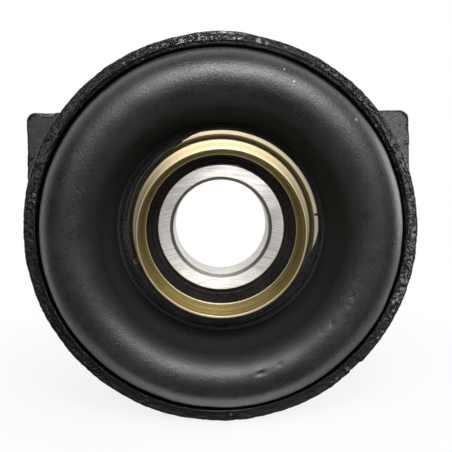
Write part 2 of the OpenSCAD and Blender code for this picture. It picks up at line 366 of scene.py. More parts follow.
class Graph:
    """A shader node tree that is filled through short calls."""

    def __init__(self, tree: NodeTree) -> None:
        """Keeps the tree and empties it."""
        self.tree = tree
        tree.nodes.clear()

    def feed(self, socket: Socket, value: object) -> None:
        """Links a socket to another, or sets its own value.

        Args:
            socket: the input to feed.
            value: an output socket, a number or a colour.
        """
        if isinstance(value, Socket):
            self.tree.links.new(value, socket)
        else:
            socket.default_value = value

    def add(self, kind: str, inputs: dict | None = None, **settings: object) -> Node:
        """Adds a node.

        Args:
            kind: Blender's name of the node.
            inputs: what feeds its inputs, by name or number.
            settings: the node's own properties.

        Returns:
            The new node.
        """
        node = self.tree.nodes.new(kind)
        for key, value in settings.items():
            setattr(node, key, value)
        for key, value in (inputs or {}).items():
            self.feed(node.inputs[key], value)
        return node

    def math(self, operation: str, a: object, b: object = 0.0, clamp: bool = False) -> Socket:
        """Works out one sum.

        Args:
            operation: name of the sum, such as MULTIPLY.
            a: first number or socket.
            b: second number or socket.
            clamp: whether to keep the result between 0 and 1.

        Returns:
            The result's socket.
        """
        return self.add("ShaderNodeMath", {0: a, 1: b}, operation=operation, use_clamp=clamp).outputs[0]

    def span(self, value: object, low: float, high: float, first: object = 0.0,
             last: object = 1.0) -> Socket:
        """Maps low..high to first..last and stays inside.

        Args:
            value: socket to map.
            low: value that gives first.
            high: value that gives last.
            first: result at low.
            last: result at high.

        Returns:
            The result's socket.
        """
        inputs = {"Value": value, "From Min": low, "From Max": high, "To Min": first, "To Max": last}
        return self.add("ShaderNodeMapRange", inputs).outputs[0]

    def mix(self, share: object, first: object, second: object) -> Socket:
        """Mixes two colours.

        Args:
            share: how much of the second colour shows.
            first: colour or socket at share 0.
            second: colour or socket at share 1.

        Returns:
            The mixed colour's socket.
        """
        return self.add("ShaderNodeMix", {0: share, 6: first, 7: second}, data_type="RGBA").outputs[2]

    def noise(self, vector: object, scale: object, detail: float = 3.0,
              rough: float = 0.55) -> Socket:
        """Adds a noise in space.

        Args:
            vector: coordinates.
            scale: lumps in a metre.
            detail: octaves.
            rough: weight of the finer octaves.

        Returns:
            The noise's value socket.
        """
        inputs = {"Vector": vector, "Scale": scale, "Detail": detail, "Roughness": rough}
        return self.add("ShaderNodeTexNoise", inputs).outputs["Fac"]

    def place(self) -> Socket:
        """Object coordinates of the surface."""
        return self.add("ShaderNodeTexCoord").outputs["Object"]

    def axes(self) -> tuple[Socket, ...]:
        """Object coordinates as x, y and z."""
        return tuple(self.add("ShaderNodeSeparateXYZ", {"Vector": self.place()}).outputs)

    def normal(self) -> tuple[Socket, ...]:
        """The surface's own normal as x, y and z."""
        normal = self.add("ShaderNodeTexCoord").outputs["Normal"]
        return tuple(self.add("ShaderNodeSeparateXYZ", {"Vector": normal}).outputs)

    def radius(self) -> Socket:
        """Distance of the surface from the shaft's axis."""
        x, _, z = self.axes()
        return self.length(x, z)

    def outward(self) -> Socket:
        """How far the surface faces away from the shaft: 1 straight away, -1 straight towards it.

        Returns:
            The result's socket.
        """
        (x, _, z), (nx, _, nz) = self.axes(), self.normal()
        along = self.math("ADD", self.math("MULTIPLY", x, nx), self.math("MULTIPLY", z, nz))
        return self.math("DIVIDE", along, self.length(x, z))

    def length(self, a: object, b: object) -> Socket:
        """Root of a squared plus b squared."""
        return self.math("SQRT", self.math("ADD", self.math("MULTIPLY", a, a), self.math("MULTIPLY", b, b)))

    def group(self, tree: NodeTree, inputs: dict) -> Socket:
        """Places a shared effect with its values here, and gives its one output."""
        return self.add("ShaderNodeGroup", inputs, node_tree=tree).outputs[0]


class Effects:
    """Effects that several finishes share, each a node group that is built once."""

    line_slant: float = 0.7
    patch_noise: Span = (0.33, 0.67)

    def __init__(self) -> None:
        """Builds the four groups."""
        self.grain = self._grain()
        self.smudge = self._smudge()
        self.specks = self._specks()
        self.rings = self._rings()

    def height(self, graph: Graph, coarse: float, fine: float, share: float) -> Socket:
        """Height of a grain, from its coarse and fine lumps a metre and the share of the fine ones."""
        return graph.group(self.grain, {"Coarse": coarse, "Fine": fine, "Fine Share": share})

    def patches(self, graph: Graph, scale: float, low: float = 0.0, high: float = 1.0) -> Socket:
        """Value that drifts between low and high in soft patches, so many a metre."""
        return graph.group(self.smudge, {"Scale": scale, "Low": low, "High": high})

    def dots(self, graph: Graph, scale: float, amount: object, size: float) -> Socket:
        """Mask of specks, from the cells a metre, the share of cells with a speck, and a speck's size."""
        return graph.group(self.specks, {"Scale": scale, "Amount": amount, "Size": size})

    def lines(self, graph: Graph, scale: float) -> Socket:
        """Lines of a turning tool, so many a metre."""
        return graph.group(self.rings, {"Scale": scale})

    @staticmethod
    def _start(name: str, inputs: dict[str, float],
               output: str) -> tuple[Graph, Node, Node]:
        """Opens a group with number sockets.

        Args:
            name: name of the group.
            inputs: input names with their first values.
            output: name of its one output.

        Returns:
            The graph, its input node and its output node.
        """
        tree = bpy.data.node_groups.new(name, "ShaderNodeTree")
        for key, value in inputs.items():
            socket = tree.interface.new_socket(key, in_out="INPUT", socket_type="NodeSocketFloat")
            socket.default_value = value
        tree.interface.new_socket(output, in_out="OUTPUT", socket_type="NodeSocketFloat")
        graph = Graph(tree)
        return graph, graph.add("NodeGroupInput"), graph.add("NodeGroupOutput")

    def _grain(self) -> NodeTree:
        """Two sizes of lumps in one height.

        Returns:
            The group, with Coarse and Fine lumps a metre, the Fine Share, and a Height.
        """
        first = {"Coarse": 300.0, "Fine": 1500.0, "Fine Share": 0.4}
        graph, into, out = self._start("grain", first, "Height")
        place = graph.place()
        coarse = graph.noise(place, into.outputs["Coarse"], detail=2.0)
        fine = graph.noise(place, into.outputs["Fine"], rough=0.65)
        share = into.outputs["Fine Share"]
        rest = graph.math("MULTIPLY", coarse, graph.math("SUBTRACT", 1.0, share))
        graph.feed(out.inputs["Height"], graph.math("ADD", rest, graph.math("MULTIPLY", fine, share)))
        return graph.tree

    def _smudge(self) -> NodeTree:
        """Soft patches between a low and a high value.

        Returns:
            The group, with Scale, Low and High, and a Value.
        """
        graph, into, out = self._start("smudge", {"Scale": 60.0, "Low": 0.3, "High": 0.5}, "Value")
        patches = graph.noise(graph.place(), into.outputs["Scale"], detail=4.0, rough=0.6)
        value = graph.span(patches, *self.patch_noise, into.outputs["Low"], into.outputs["High"])
        graph.feed(out.inputs["Value"], value)
        return graph.tree

    def _specks(self) -> NodeTree:
        """Few small round specks, one in some of the cells of a grid in space.

        Returns:
            The group, with Scale, Amount and Size, and a Mask.
        """
        graph, into, out = self._start("specks", {"Scale": 300.0, "Amount": 0.05, "Size": 0.15}, "Mask")
        cells = graph.add("ShaderNodeTexVoronoi", {"Vector": graph.place(), "Scale": into.outputs["Scale"]})
        chance = graph.add("ShaderNodeSeparateColor", {"Color": cells.outputs["Color"]}).outputs[0]
        chosen = graph.math("LESS_THAN", chance, into.outputs["Amount"])
        near = graph.math("LESS_THAN", cells.outputs["Distance"], into.outputs["Size"])
        graph.feed(out.inputs["Mask"], graph.math("MULTIPLY", chosen, near))
        return graph.tree

    def _rings(self) -> NodeTree:
        """Lines of a turning tool: noise that changes only with the radius and the place along the shaft.

        Returns:
            The group, with Scale in lines a metre, and Lines.
        """
        graph, into, out = self._start("turned_lines", {"Scale": 3000.0}, "Lines")
        slanted = graph.math("MULTIPLY", graph.axes()[1], self.line_slant)
        along = graph.math("ADD", graph.radius(), slanted)
        inputs = {"W": along, "Scale": into.outputs["Scale"], "Detail": 4.0, "Roughness": 0.7}
        lines = graph.add("ShaderNodeTexNoise", inputs, noise_dimensions="1D").outputs["Fac"]
        graph.feed(out.inputs["Lines"], lines)
        return graph.tree


@dataclass(frozen=True)
class Finish:
    """What every finish has: a name, and how its material starts."""

    name: str

    def start(self) -> tuple[Graph, Material, Node]:
        """Opens the material.

        Returns:
            Its graph, the material, and its shader node, which is joined to the output.
        """
        material = bpy.data.materials.new(self.name)
        material.use_nodes = True
        graph = Graph(material.node_tree)
        shader = graph.add("ShaderNodeBsdfPrincipled")
        graph.add("ShaderNodeOutputMaterial", {"Surface": shader.outputs[0]})
        return graph, material, shader

    def bump(self, graph: Graph, shader: Node, height: Socket, depth: float) -> None:
        """Turns a height into the shader's normal.

        Args:
            graph: the material's graph.
            shader: its shader node.
            height: the height, from 0 to 1.
            depth: what a height of 1 stands for, in metres.
        """
        bump = graph.add("ShaderNodeBump", {"Height": height, "Strength": 1.0, "Distance": depth})
        graph.feed(shader.inputs["Normal"], bump.outputs[0])

    def brush(self, graph: Graph, shader: Node, spread: float) -> None:
        """Makes the shader metal, with a gloss that spreads across the marks that run round the shaft.

        Args:
            graph: the material's graph.
            shader: its shader node.
            spread: how much further the gloss reaches across the marks than along them, from 0 to 1.
        """
        shader.inputs["Metallic"].default_value = 1.0
        shader.inputs["Anisotropic"].default_value = spread
        tangent = graph.add("ShaderNodeTangent", direction_type="UV_MAP", uv_map=STRIP)
        graph.feed(shader.inputs["Tangent"], tangent.outputs[0])


@dataclass(frozen=True)
class GlossPaint(Finish):
    """Thick gloss paint over a rough cast or pressed surface, which is smoother beyond a given radius."""

    dark: Colour = (0.0012, 0.0012, 0.0014, 1.0)
    worn: Colour = (0.004, 0.004, 0.0042, 1.0)
    dust: Colour = (0.07, 0.07, 0.068, 1.0)
    patch_scale: float = 140.0
    dust_scale: float = 900.0
    dust_amount: float = 0.02
    dust_size: float = 0.3
    rough_scale: float = 420.0
    rough: Span = (0.06, 0.18)
    specular: float = 0.25
    coat: float = 0.18
    coat_rough: float = 0.06
    lumps: float = 1100.0
    pores: float = 2300.0
    pore_share: float = 0.6
    heights: Span = (0.40, 0.64)
    depth: float = 0.00010
    smooth_from: float = 0.0564
    smooth_fade: float = 0.0006
    smooth_keep: float = 0.8

    def material(self, effects: Effects) -> Material:
        """Builds the material.

        Args:
            effects: the shared effects.

        Returns:
            The material.
        """
        graph, material, shader = self.start()
        paint = graph.mix(effects.patches(graph, self.patch_scale), self.dark, self.worn)
        dust = effects.dots(graph, self.dust_scale, self.dust_amount, self.dust_size)
        graph.feed(shader.inputs["Base Color"], graph.mix(dust, paint, self.dust))
        graph.feed(shader.inputs["Roughness"], effects.patches(graph, self.rough_scale, *self.rough))
        shader.inputs["Specular IOR Level"].default_value = self.specular
        shader.inputs["Coat Weight"].default_value = self.coat
        shader.inputs["Coat Roughness"].default_value = self.coat_rough
        grain = effects.height(graph, self.lumps, self.pores, self.pore_share)
        height = graph.span(grain, *self.heights)
        end = self.smooth_from + self.smooth_fade
        keep = graph.span(graph.radius(), self.smooth_from, end, 1.0, self.smooth_keep)
        self.bump(graph, shader, graph.math("MULTIPLY", height, keep), self.depth)
        return material


@dataclass(frozen=True)
class MouldedRubber(Finish):
    """Moulded rubber with a faint bloom and pale flecks, dull inside with painted shade there, and dusty at
    its outer edge.
    """

    dark: Colour = (0.002, 0.002, 0.0019, 1.0)
    bloom: Colour = (0.018, 0.018, 0.0174, 1.0)
    # Painted shade: the rubber inside dull_to is painted this darker colour, fading out by dull_end.
    deep: Colour = (0.0045, 0.0045, 0.0044, 1.0)
    fleck: Colour = (0.22, 0.22, 0.21, 1.0)
    patch_scale: float = 55.0
    patch_share: float = 0.6
    mottle_scale: float = 1300.0
    mottle_share: float = 0.6
    fleck_scale: float = 420.0
    fleck_size: float = 0.16
    flecks: float = 0.010
    edge_flecks: float = 0.06
    edge_from: float = 0.0492
    edge_fade: float = 0.0012
    sheen_scale: float = 260.0
    rough: Span = (0.25, 0.35)
    dull_to: float = 0.0335
    dull_end: float = 0.0380
    dull_rough: float = 0.70
    lumps: float = 1500.0
    pores: float = 3400.0
    pore_share: float = 0.5
    depth: float = 0.00016
    specular: float = 0.75

    def material(self, effects: Effects) -> Material:
        """Builds the material.

        Args:
            effects: the shared effects.

        Returns:
            The material.
        """
        graph, material, shader = self.start()
        patches = effects.patches(graph, self.patch_scale, 0.0, self.patch_share)
        mottle = effects.patches(graph, self.mottle_scale, 0.0, self.mottle_share)
        skin = graph.mix(graph.math("ADD", patches, mottle), self.dark, self.bloom)
        radius = graph.radius()
        # Painted shade: the throat near the sleeve is painted a darker colour.
        skin = graph.mix(graph.span(radius, self.dull_to, self.dull_end, 1.0, 0.0), skin, self.deep)
        edge_end = self.edge_from + self.edge_fade
        amount = graph.span(radius, self.edge_from, edge_end, self.flecks, self.edge_flecks)
        marks = effects.dots(graph, self.fleck_scale, amount, self.fleck_size)
        graph.feed(shader.inputs["Base Color"], graph.mix(marks, skin, self.fleck))
        sheen = effects.patches(graph, self.sheen_scale, *self.rough)
        rough = graph.span(radius, self.dull_to, self.dull_end, self.dull_rough, sheen)
        graph.feed(shader.inputs["Roughness"], rough)
        shader.inputs["Specular IOR Level"].default_value = self.specular
        height = effects.height(graph, self.lumps, self.pores, self.pore_share)
        self.bump(graph, shader, height, self.depth)
        return material


@dataclass(frozen=True)
class YellowPlate(Finish):
    """Turned steel under yellow plating, with drifting hues and the turning tool's lines.

    Surfaces close to the shaft that face it are painted darker, as painted shade inside the collar. Those
    that face away from it are painted dark, as painted shade in the gaps. The collar's lip edge is painted
    pale straw, a painted highlight.
    """

    straw: Colour = (0.86, 0.78, 0.58, 1.0)
    amber: Colour = (0.80, 0.60, 0.34, 1.0)
    fringe: Colour = (0.76, 0.50, 0.22, 1.0)
    limb: Colour = (0.82, 0.72, 0.48, 1.0)
    green: Colour = (0.76, 0.73, 0.44, 1.0)
    stain: Colour = (0.46, 0.40, 0.25, 1.0)
    # Painted shade for the faces close to the shaft that face it, inside the collar.
    inner_shade: Colour = (0.12, 0.094, 0.034, 1.0)
    # Painted shade for the faces that face away from the shaft, in the gaps round the plated parts.
    gap_shade: Colour = (0.035, 0.030, 0.022, 1.0)
    line_scale: float = 2600.0
    broad_scale: float = 700.0
    drift_scale: float = 48.0
    plain_lines: Span = (0.3, 0.7)
    amber_lines: Span = (0.40, 0.62)
    green_share: float = 0.6
    stain_lines: Span = (0.56, 0.74)
    stain_share: float = 0.40
    facing_in: Span = (-0.75, -0.35)
    facing_out: Span = (0.6, 0.9)
    # Painted highlight: the collar's lip edge inside this radius is painted pale straw.
    lip_glint_r: float = 0.02285
    lip_glint_fade: float = 0.0001
    inner_shade_r: float = 0.0251
    inner_shade_fade: float = 0.0002
    inner_shade_share: Span = (0.82, 1.0)
    inner_gloss: float = 0.6
    fringe_r: float = 0.0264
    fringe_rise: float = 0.0006
    fringe_fall: float = 0.0003
    fringe_share: float = 0.6
    rough: Span = (0.30, 0.38)
    spread: float = 0.65
    depth: float = 0.000006

    def material(self, effects: Effects) -> Material:
        """Builds the material.

        Args:
            effects: the shared effects.

        Returns:
            The material.
        """
        graph, material, shader = self.start()
        lines = effects.lines(graph, self.line_scale)
        broad = effects.lines(graph, self.broad_scale)
        drift = effects.patches(graph, self.drift_scale)
        film = graph.mix(graph.span(broad, *self.amber_lines), self.straw, self.amber)
        film = graph.mix(graph.math("MULTIPLY", drift, self.green_share), film, self.green)
        film = graph.mix(graph.span(lines, *self.stain_lines, 0.0, self.stain_share), film, self.stain)
        outward, radius = graph.outward(), graph.radius()
        # Painted shade: faces close to the shaft that face it are painted darker; the mask oil carries it,
        # lightly broken by the turning lines.
        near = graph.span(radius, self.inner_shade_r, self.inner_shade_r + self.inner_shade_fade, 1.0, 0.0)
        inside = graph.math("MULTIPLY", graph.span(outward, *self.facing_in, 1.0, 0.0), near)
        oil = graph.math("MULTIPLY", inside, graph.span(broad, *self.plain_lines, *self.inner_shade_share))
        film = graph.mix(oil, film, self.inner_shade)
        # Painted shade: faces turned away from the shaft are painted dark.
        film = graph.mix(graph.span(outward, *self.facing_out), film, self.gap_shade)
        # Painted highlight: the lip's edge is painted pale straw, over the painted shade.
        worn = graph.span(radius, self.lip_glint_r - self.lip_glint_fade, self.lip_glint_r, 1.0, 0.0)
        film = graph.mix(worn, film, self.straw)
        rise = graph.span(radius, self.fringe_r - self.fringe_rise, self.fringe_r, 0.0, self.fringe_share)
        fall = graph.span(radius, self.fringe_r, self.fringe_r + self.fringe_fall, 1.0, 0.0)
        film = graph.mix(graph.math("MULTIPLY", rise, fall), film, self.fringe)
        graph.feed(shader.inputs["Base Color"], film)
        shader.inputs["Specular Tint"].default_value = self.limb
        rough = graph.span(lines, *self.plain_lines, *self.rough)
        rough = graph.math("MULTIPLY", rough, graph.span(inside, 0.0, 1.0, 1.0, self.inner_gloss))
        graph.feed(shader.inputs["Roughness"], rough)
        self.brush(graph, shader, self.spread)
        self.bump(graph, shader, lines, self.depth)
        return material


@dataclass(frozen=True)
class GroundSteel(Finish):
    """Bearing steel: ground faces with long nearly straight streaks, turned bores and dull dark chamfers."""

    pale: Colour = (0.80, 0.77, 0.74, 1.0)
    grey: Colour = (0.50, 0.46, 0.44, 1.0)
    chamfer: Colour = (0.20, 0.20, 0.18, 1.0)
    sweep: float = 0.075
    across_scale: float = 2600.0
    along_scale: float = 110.0
    streak_rough: float = 0.6
    ring_scale: float = 3600.0
    face_from: Span = (0.85, 0.95)
    slope_from: Span = (0.35, 0.55)
    stain_scale: float = 90.0
    stains: Span = (-0.1, 0.45)
    grey_marks: Span = (0.42, 0.70)
    grey_share: float = 0.8
    plain_marks: Span = (0.3, 0.7)
    rough: Span = (0.42, 0.54)
    spread: float = 0.72
    depth: float = 0.000012

    def material(self, effects: Effects) -> Material:
        """Builds the material, whose gloss spreads across the marks that run round the shaft.

        Streaks on the faces follow circles about a point far below the part, as a wheel leaves them.

        Args:
            effects: the shared effects.

        Returns:
            The material.
        """
        graph, material, shader = self.start()
        x, _, z = graph.axes()
        sweep = graph.length(x, graph.math("ADD", z, self.sweep))
        across = graph.math("MULTIPLY", sweep, self.across_scale)
        along = graph.math("MULTIPLY", x, self.along_scale)
        path = graph.add("ShaderNodeCombineXYZ", {0: along, 1: across}).outputs[0]
        streaks = graph.noise(path, 1.0, rough=self.streak_rough)
        rings = effects.lines(graph, self.ring_scale)
        facing = graph.math("ABSOLUTE", graph.normal()[1])
        face = graph.span(facing, *self.face_from)
        side = graph.span(facing, *self.face_from, 1.0, 0.0)
        slope = graph.math("MULTIPLY", graph.span(facing, *self.slope_from), side)
        turned = graph.math("MULTIPLY", rings, graph.math("SUBTRACT", 1.0, face))
        marks = graph.math("ADD", graph.math("MULTIPLY", streaks, face), turned)
        stains = effects.patches(graph, self.stain_scale, *self.stains)
        shade = graph.math("ADD", graph.span(marks, *self.grey_marks, 0.0, self.grey_share), stains, True)
        ground = graph.mix(shade, self.pale, self.grey)
        graph.feed(shader.inputs["Base Color"], graph.mix(slope, ground, self.chamfer))
        graph.feed(shader.inputs["Roughness"], graph.span(marks, *self.plain_marks, *self.rough))
        self.brush(graph, shader, self.spread)
        self.bump(graph, shader, marks, self.depth)
        return material


@dataclass(frozen=True)
class PlainSteel(Finish):
    """Polished or pressed steel with a film of oil in patches."""

    bright: Colour = (0.74, 0.75, 0.77, 1.0)
    dull: Colour = (0.60, 0.60, 0.60, 1.0)
    film_scale: float = 260.0
    rough_scale: float = 500.0
    rough: Span = (0.06, 0.16)
    lumps: float = 900.0
    pores: float = 4000.0
    pore_share: float = 0.5
    depth: float = 0.000001

    def material(self, effects: Effects) -> Material:
        """Builds the material.

        Args:
            effects: the shared effects.

        Returns:
            The material.
        """
        graph, material, shader = self.start()
        film = effects.patches(graph, self.film_scale)
        graph.feed(shader.inputs["Base Color"], graph.mix(film, self.bright, self.dull))
        shader.inputs["Metallic"].default_value = 1.0
        graph.feed(shader.inputs["Roughness"], effects.patches(graph, self.rough_scale, *self.rough))
        height = effects.height(graph, self.lumps, self.pores, self.pore_share)
        self.bump(graph, shader, height, self.depth)
        return material


def dress(piece: Object, material: Material) -> None:
    """Gives a piece or a CAD node one material.

    Args:
        piece: the object.
        material: its finish.
    """
    piece.data.materials.clear()
    piece.data.materials.append(material)


@dataclass
class TurnedPart:
    """A part of revolution that stands for one CAD node, with edges softened as a lathe hand leaves them."""

    name: Piece
    node: str
    body: Body
    slot: Slot
    section: Section
    columns: int = 360

    def build(self) -> Object:
        """Carries the section round the shaft: each outline point at each of the angles.

        Returns:
            The piece.
        """
        outline = self.section.outline()
        theta = np.linspace(0.0, 2.0 * np.pi, self.columns, endpoint=False)
        points = on_shaft(outline[:, 0, None], outline[:, 1, None], theta[None, :])
        return grid_object(self.name.value, points)

    def finish(self, material: Material) -> Object:
        """Builds the piece, dresses it and sets it on its body.

        Args:
            material: its finish.

        Returns:
            The piece.
        """
        piece = self.build()
        dress(piece, material)
        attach(piece, self.body.value)
        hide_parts(self.node)
        LOG.info("%s stands for %s", piece.name, self.node)
        return piece


@dataclass
class CastRing:
    """The cast ring with its two lugs, lumpy under the paint, with tapped holes.

    Sizes are in millimetres and angles in degrees.
    """

    ring_r: float = 56.2
    bore_r: float = 52.4
    stop_r: float = 51.3
    rim: float = 22.8
    wall_f: float = 21.3
    stop_f: float = -20.2
    edge_r: float = 0.9
    dish: float = 0.06
    mouth: float = 0.4
    mouth_worn: Patch = Patch(72.0, 55.0, 90.0, 0.6)
    lug_x: float = 54.7
    left_over: float = 0.5
    lug_flare: float = 1.4
    lug_top: float = 35.0
    lug_corner: float = 2.4
    lug_root: float = 2.0
    lug_end: float = 17.0
    lug_soft: float = 0.8
    soft_share: float = 0.999
    lug_angles: Span = (6.0, 43.0)
    lug_step: float = 0.3
    plain_step: float = 0.5
    side_points: int = 60
    corner_points: int = 24
    top_points: int = 20
    root_points: int = 16
    bore_rows: int = 13
    face_rows: int = 18
    edge_rows: int = 5
    wall_rows: int = 8
    lug_rows: int = 9
    flat_rows: int = 24
    rear_rows: int = 4
    bolt_x: float = 49.5
    bolt_r: float = 3.4
    bolt_depth: float = 8.0
    bolt_sink: float = 0.5
    sink_most: float = 1.0
    drill_slope: float = 0.58
    thread_r: float = 3.95
    thread_pitch: float = 1.25
    thread_end: Span = (1.0, 2.0)
    cutter_over: float = 1.0
    cutter_columns: int = 48
    thread_rows: int = 96
    floor_shares: Span = (0.02, 0.5)
    dip_r: float = 4.35
    dip_z: float = 38.15
    dip_uneven: float = 0.05
    dip_waves: Waves = Waves(21, 2.0, 6.0)
    dip_rows: int = 24
    dip_pole: float = 0.01
    lump: float = 0.20
    lump_waves: Waves = Waves(11, 3.0, 16.0)
    fine_lump: float = 0.13
    fine_waves: Waves = Waves(12, 1.1, 2.6)
    lug_even: float = 0.36
    lug_even_out: Span = (0.2, 0.9)
    lug_top_even: float = 0.6
    lug_top_facing: Span = (0.97, 0.999)
    lug_top_from: float = 34.0
    oval: float = 0.24
    oval_angle: float = 75.0
    top_flat: Patch = Patch(75.0, 15.0, 50.0, 0.24)
    chip: Patch = Patch(-45.6, 1.9, 2.4, 0.38)
    low_flat: Patch = Patch(-50.5, 1.0, 5.0, 0.20)
    front_f: Span = (2.0, 14.0)
    bore_fade: Span = (0.05, 0.6)

    def angles(self) -> np.ndarray:
        """Angles round the ring, closer together at the two lugs.

        Returns:
            Angles in radians.
        """
        low, high = self.lug_angles
        right = np.arange(low, high, self.lug_step)
        top = np.arange(high, 180.0 - high, self.plain_step)
        left = np.arange(180.0 - high, 180.0 - low, self.lug_step)
        rest = np.arange(180.0 - low, 360.0 + low, self.plain_step)
        return np.radians(np.concatenate([right, top, left, rest]))

    def lug_radius(self, theta: np.ndarray) -> np.ndarray:
        """Outline of the ring and both lugs: the greatest radius at each angle.

        Args:
            theta: angles in radians.

        Returns:
            Radius in millimetres.
        """
        right = self.right_outline(theta, 0.0)
        left = self.right_outline(np.pi - theta, self.left_over)
        return np.where(np.cos(theta) < 0.0, left, right)

    def right_outline(self, theta: np.ndarray, over: float) -> np.ndarray:
        """Outline of the ring with a lug on the right, which the left lug mirrors.

        It runs up the lug's side face, round its corner, along its top and through the root fillet.

        Args:
            theta: angles in radians.
            over: how far the casting stands past the lug's plain size, in millimetres.

        Returns:
            Radius in millimetres.
        """
        lean = np.arctan(self.lug_flare / self.lug_top)
        lug_x = self.lug_x + over
        turn = np.linspace(lean, 0.5 * np.pi, self.corner_points)
        corner_z = self.lug_top - self.lug_corner
        corner_x = lug_x + self.lug_flare * self.lug_corner / self.lug_top - self.lug_corner / np.cos(lean)
        root_z = self.lug_top + self.lug_root
        root_x = np.sqrt((self.ring_r + self.lug_root) ** 2 - root_z**2)
        meet = np.arctan2(root_z, root_x)
        hollow = np.linspace(-0.5 * np.pi, -np.pi + meet, self.root_points)
        side_z = np.linspace(0.0, corner_z, self.side_points)
        side_x = np.minimum(lug_x + self.lug_flare * (1.0 - side_z / self.lug_top), self.ring_r)
        top_x = np.linspace(corner_x, root_x, self.top_points)
        top_z = np.full_like(top_x, self.lug_top)
        x = np.concatenate([side_x, corner_x + self.lug_corner * np.cos(turn), top_x,
                            root_x + self.lug_root * np.cos(hollow)])
        z = np.concatenate([side_z, corner_z + self.lug_corner * np.sin(turn), top_z,
                            root_z + self.lug_root * np.sin(hollow)])
        along, reach = np.arctan2(z, x), np.hypot(x, z)
        order = np.argsort(along)
        turned = (theta + np.pi) % (2.0 * np.pi) - np.pi
        outline = np.interp(turned, along[order], reach[order], left=self.ring_r, right=self.ring_r)
        return np.maximum(outline, self.ring_r)

    def points(self) -> np.ndarray:
        """Carries the ring's section round the shaft, with a lug row group whose radius follows the outline.

        The chamfer at the mouth of the bore is worn wider over the top.

        Returns:
            Places as rows, columns, xyz in millimetres.
        """
        theta = self.angles()
        reach = self.lug_radius(theta)[None, :]
        soft = np.minimum(self.lug_soft, self.soft_share * (reach - self.ring_r))
        turn = np.radians(np.linspace(0.0, 90.0, self.edge_rows))[:, None]
        ones = np.ones_like(reach)

        def rows(r: np.ndarray | float, f: np.ndarray | float) -> tuple[np.ndarray, np.ndarray]:
            """Rows of plain ring, the same at every angle."""
            r, f = np.broadcast_arrays(np.atleast_1d(r)[:, None], np.atleast_1d(f)[:, None])
            return r * ones, f * ones

        edge = self.ring_r - self.edge_r
        width = self.mouth + self.mouth_worn.at(theta)[None, :]
        rise = np.linspace(0.0, 1.0, self.bore_rows)[:, None]
        bore_f = self.stop_f + rise * (self.rim - width - self.stop_f)
        bore = (self.bore_r * np.ones_like(bore_f), bore_f)
        slope = np.linspace(0.0, 1.0, self.edge_rows)[1:-1, None]
        mouth = (self.bore_r + slope * width, self.rim - (1.0 - slope) * width)
        over_face = np.linspace(0.0, 1.0, self.face_rows)[:-1, None]
        inner = self.bore_r + width
        hollow = self.dish * (0.5 - 0.5 * np.cos(2.0 * np.pi * over_face))
        front = (inner + over_face * (edge - inner), (self.rim - hollow) * ones)
        front_edge = rows(edge + self.edge_r * np.sin(turn[:, 0]),
                          self.rim - self.edge_r * (1.0 - np.cos(turn[:, 0])))
        front_wall = rows(self.ring_r, np.linspace(self.wall_f, self.lug_end, self.wall_rows))
        share = np.linspace(0.0, 1.0, self.lug_rows)[1:-1, None]
        up_r = self.ring_r + share * (reach - soft - self.ring_r)
        lug_up = (up_r, self.lug_end * np.ones_like(up_r))
        over = (reach - soft * (1.0 - np.sin(turn)), self.lug_end - soft * (1.0 - np.cos(turn)))
        flat_f = np.linspace(1.0, -1.0, self.flat_rows)[1:-1, None] * (self.lug_end - soft)
        flat = (reach * np.ones_like(flat_f), flat_f)
        down = (over[0][::-1], -over[1][::-1])
        lug_down = (up_r[::-1], -lug_up[1])
        rear_wall = (front_wall[0], -front_wall[1][::-1])
        rear_edge = (front_edge[0][::-1], -front_edge[1][::-1])
        stop_mid = self.stop_r + self.edge_r
        rear = rows(np.linspace(edge, stop_mid, self.rear_rows)[1:-1], -self.rim)
        stop_edge = rows(stop_mid - self.edge_r * np.sin(turn[:, 0]),
                         -self.rim + self.edge_r * (1.0 - np.cos(turn[:, 0])))
        stop = rows(np.array([self.stop_r, 0.5 * (self.stop_r + self.bore_r)]), self.stop_f)
        groups = [bore, mouth, front, front_edge, front_wall, lug_up, over, flat, down, lug_down, rear_wall,
                  rear_edge, rear, stop_edge, stop]
        r = np.concatenate([group[0] for group in groups])
        f = np.concatenate([group[1] for group in groups])
        return on_shaft(r, f, theta[None, :])

    def roughen(self, piece: Object) -> None:
        """Sinks the outside along its normals by lumps of two sizes, flats and a chip, never outwards.

        The depth is amplitude * (1 + field) / 2 for each field of sines, plus a slow cosine of twice the
        angle that makes the ring slightly oval. It is less on the lugs, and fades to none in the bore.

        Args:
            piece: the ring's mesh object.
        """
        mesh = piece.data
        place = np.empty(len(mesh.vertices) * 3, np.float32)
        normal = np.empty_like(place)
        mesh.vertices.foreach_get("co", place)
        mesh.vertex_normals.foreach_get("vector", normal)
        spot = place.reshape(-1, 3).astype(float) / MM
        normal = normal.reshape(-1, 3)
        radius = np.hypot(spot[:, 0], spot[:, 2])
        theta = np.arctan2(spot[:, 2], spot[:, 0])
        depth = self.lump * 0.5 * (1.0 + self.lump_waves.at(spot))
        out = radius - self.ring_r
        even = 1.0 - self.lug_even * smooth_step(out, *self.lug_even_out)
        depth += self.fine_lump * even * 0.5 * (1.0 + self.fine_waves.at(spot))
        depth += self.oval * (0.5 + 0.5 * np.cos(2.0 * (theta - radians(self.oval_angle))))
        depth += self.top_flat.at(theta)
        depth += (self.chip.at(theta) + self.low_flat.at(theta)) * smooth_step(-spot[:, 1], *self.front_f)
        depth *= smooth_step(radius - self.bore_r, *self.bore_fade)
        on_lug = spot[:, 2] > self.lug_top_from
        level = smooth_step(np.abs(normal[:, 2]), *self.lug_top_facing) * on_lug
        depth *= 1.0 - self.lug_top_even * level
        moved = spot - normal * depth[:, None]
        mesh.vertices.foreach_set("co", (moved * MM).astype(np.float32).ravel())
        mesh.update()

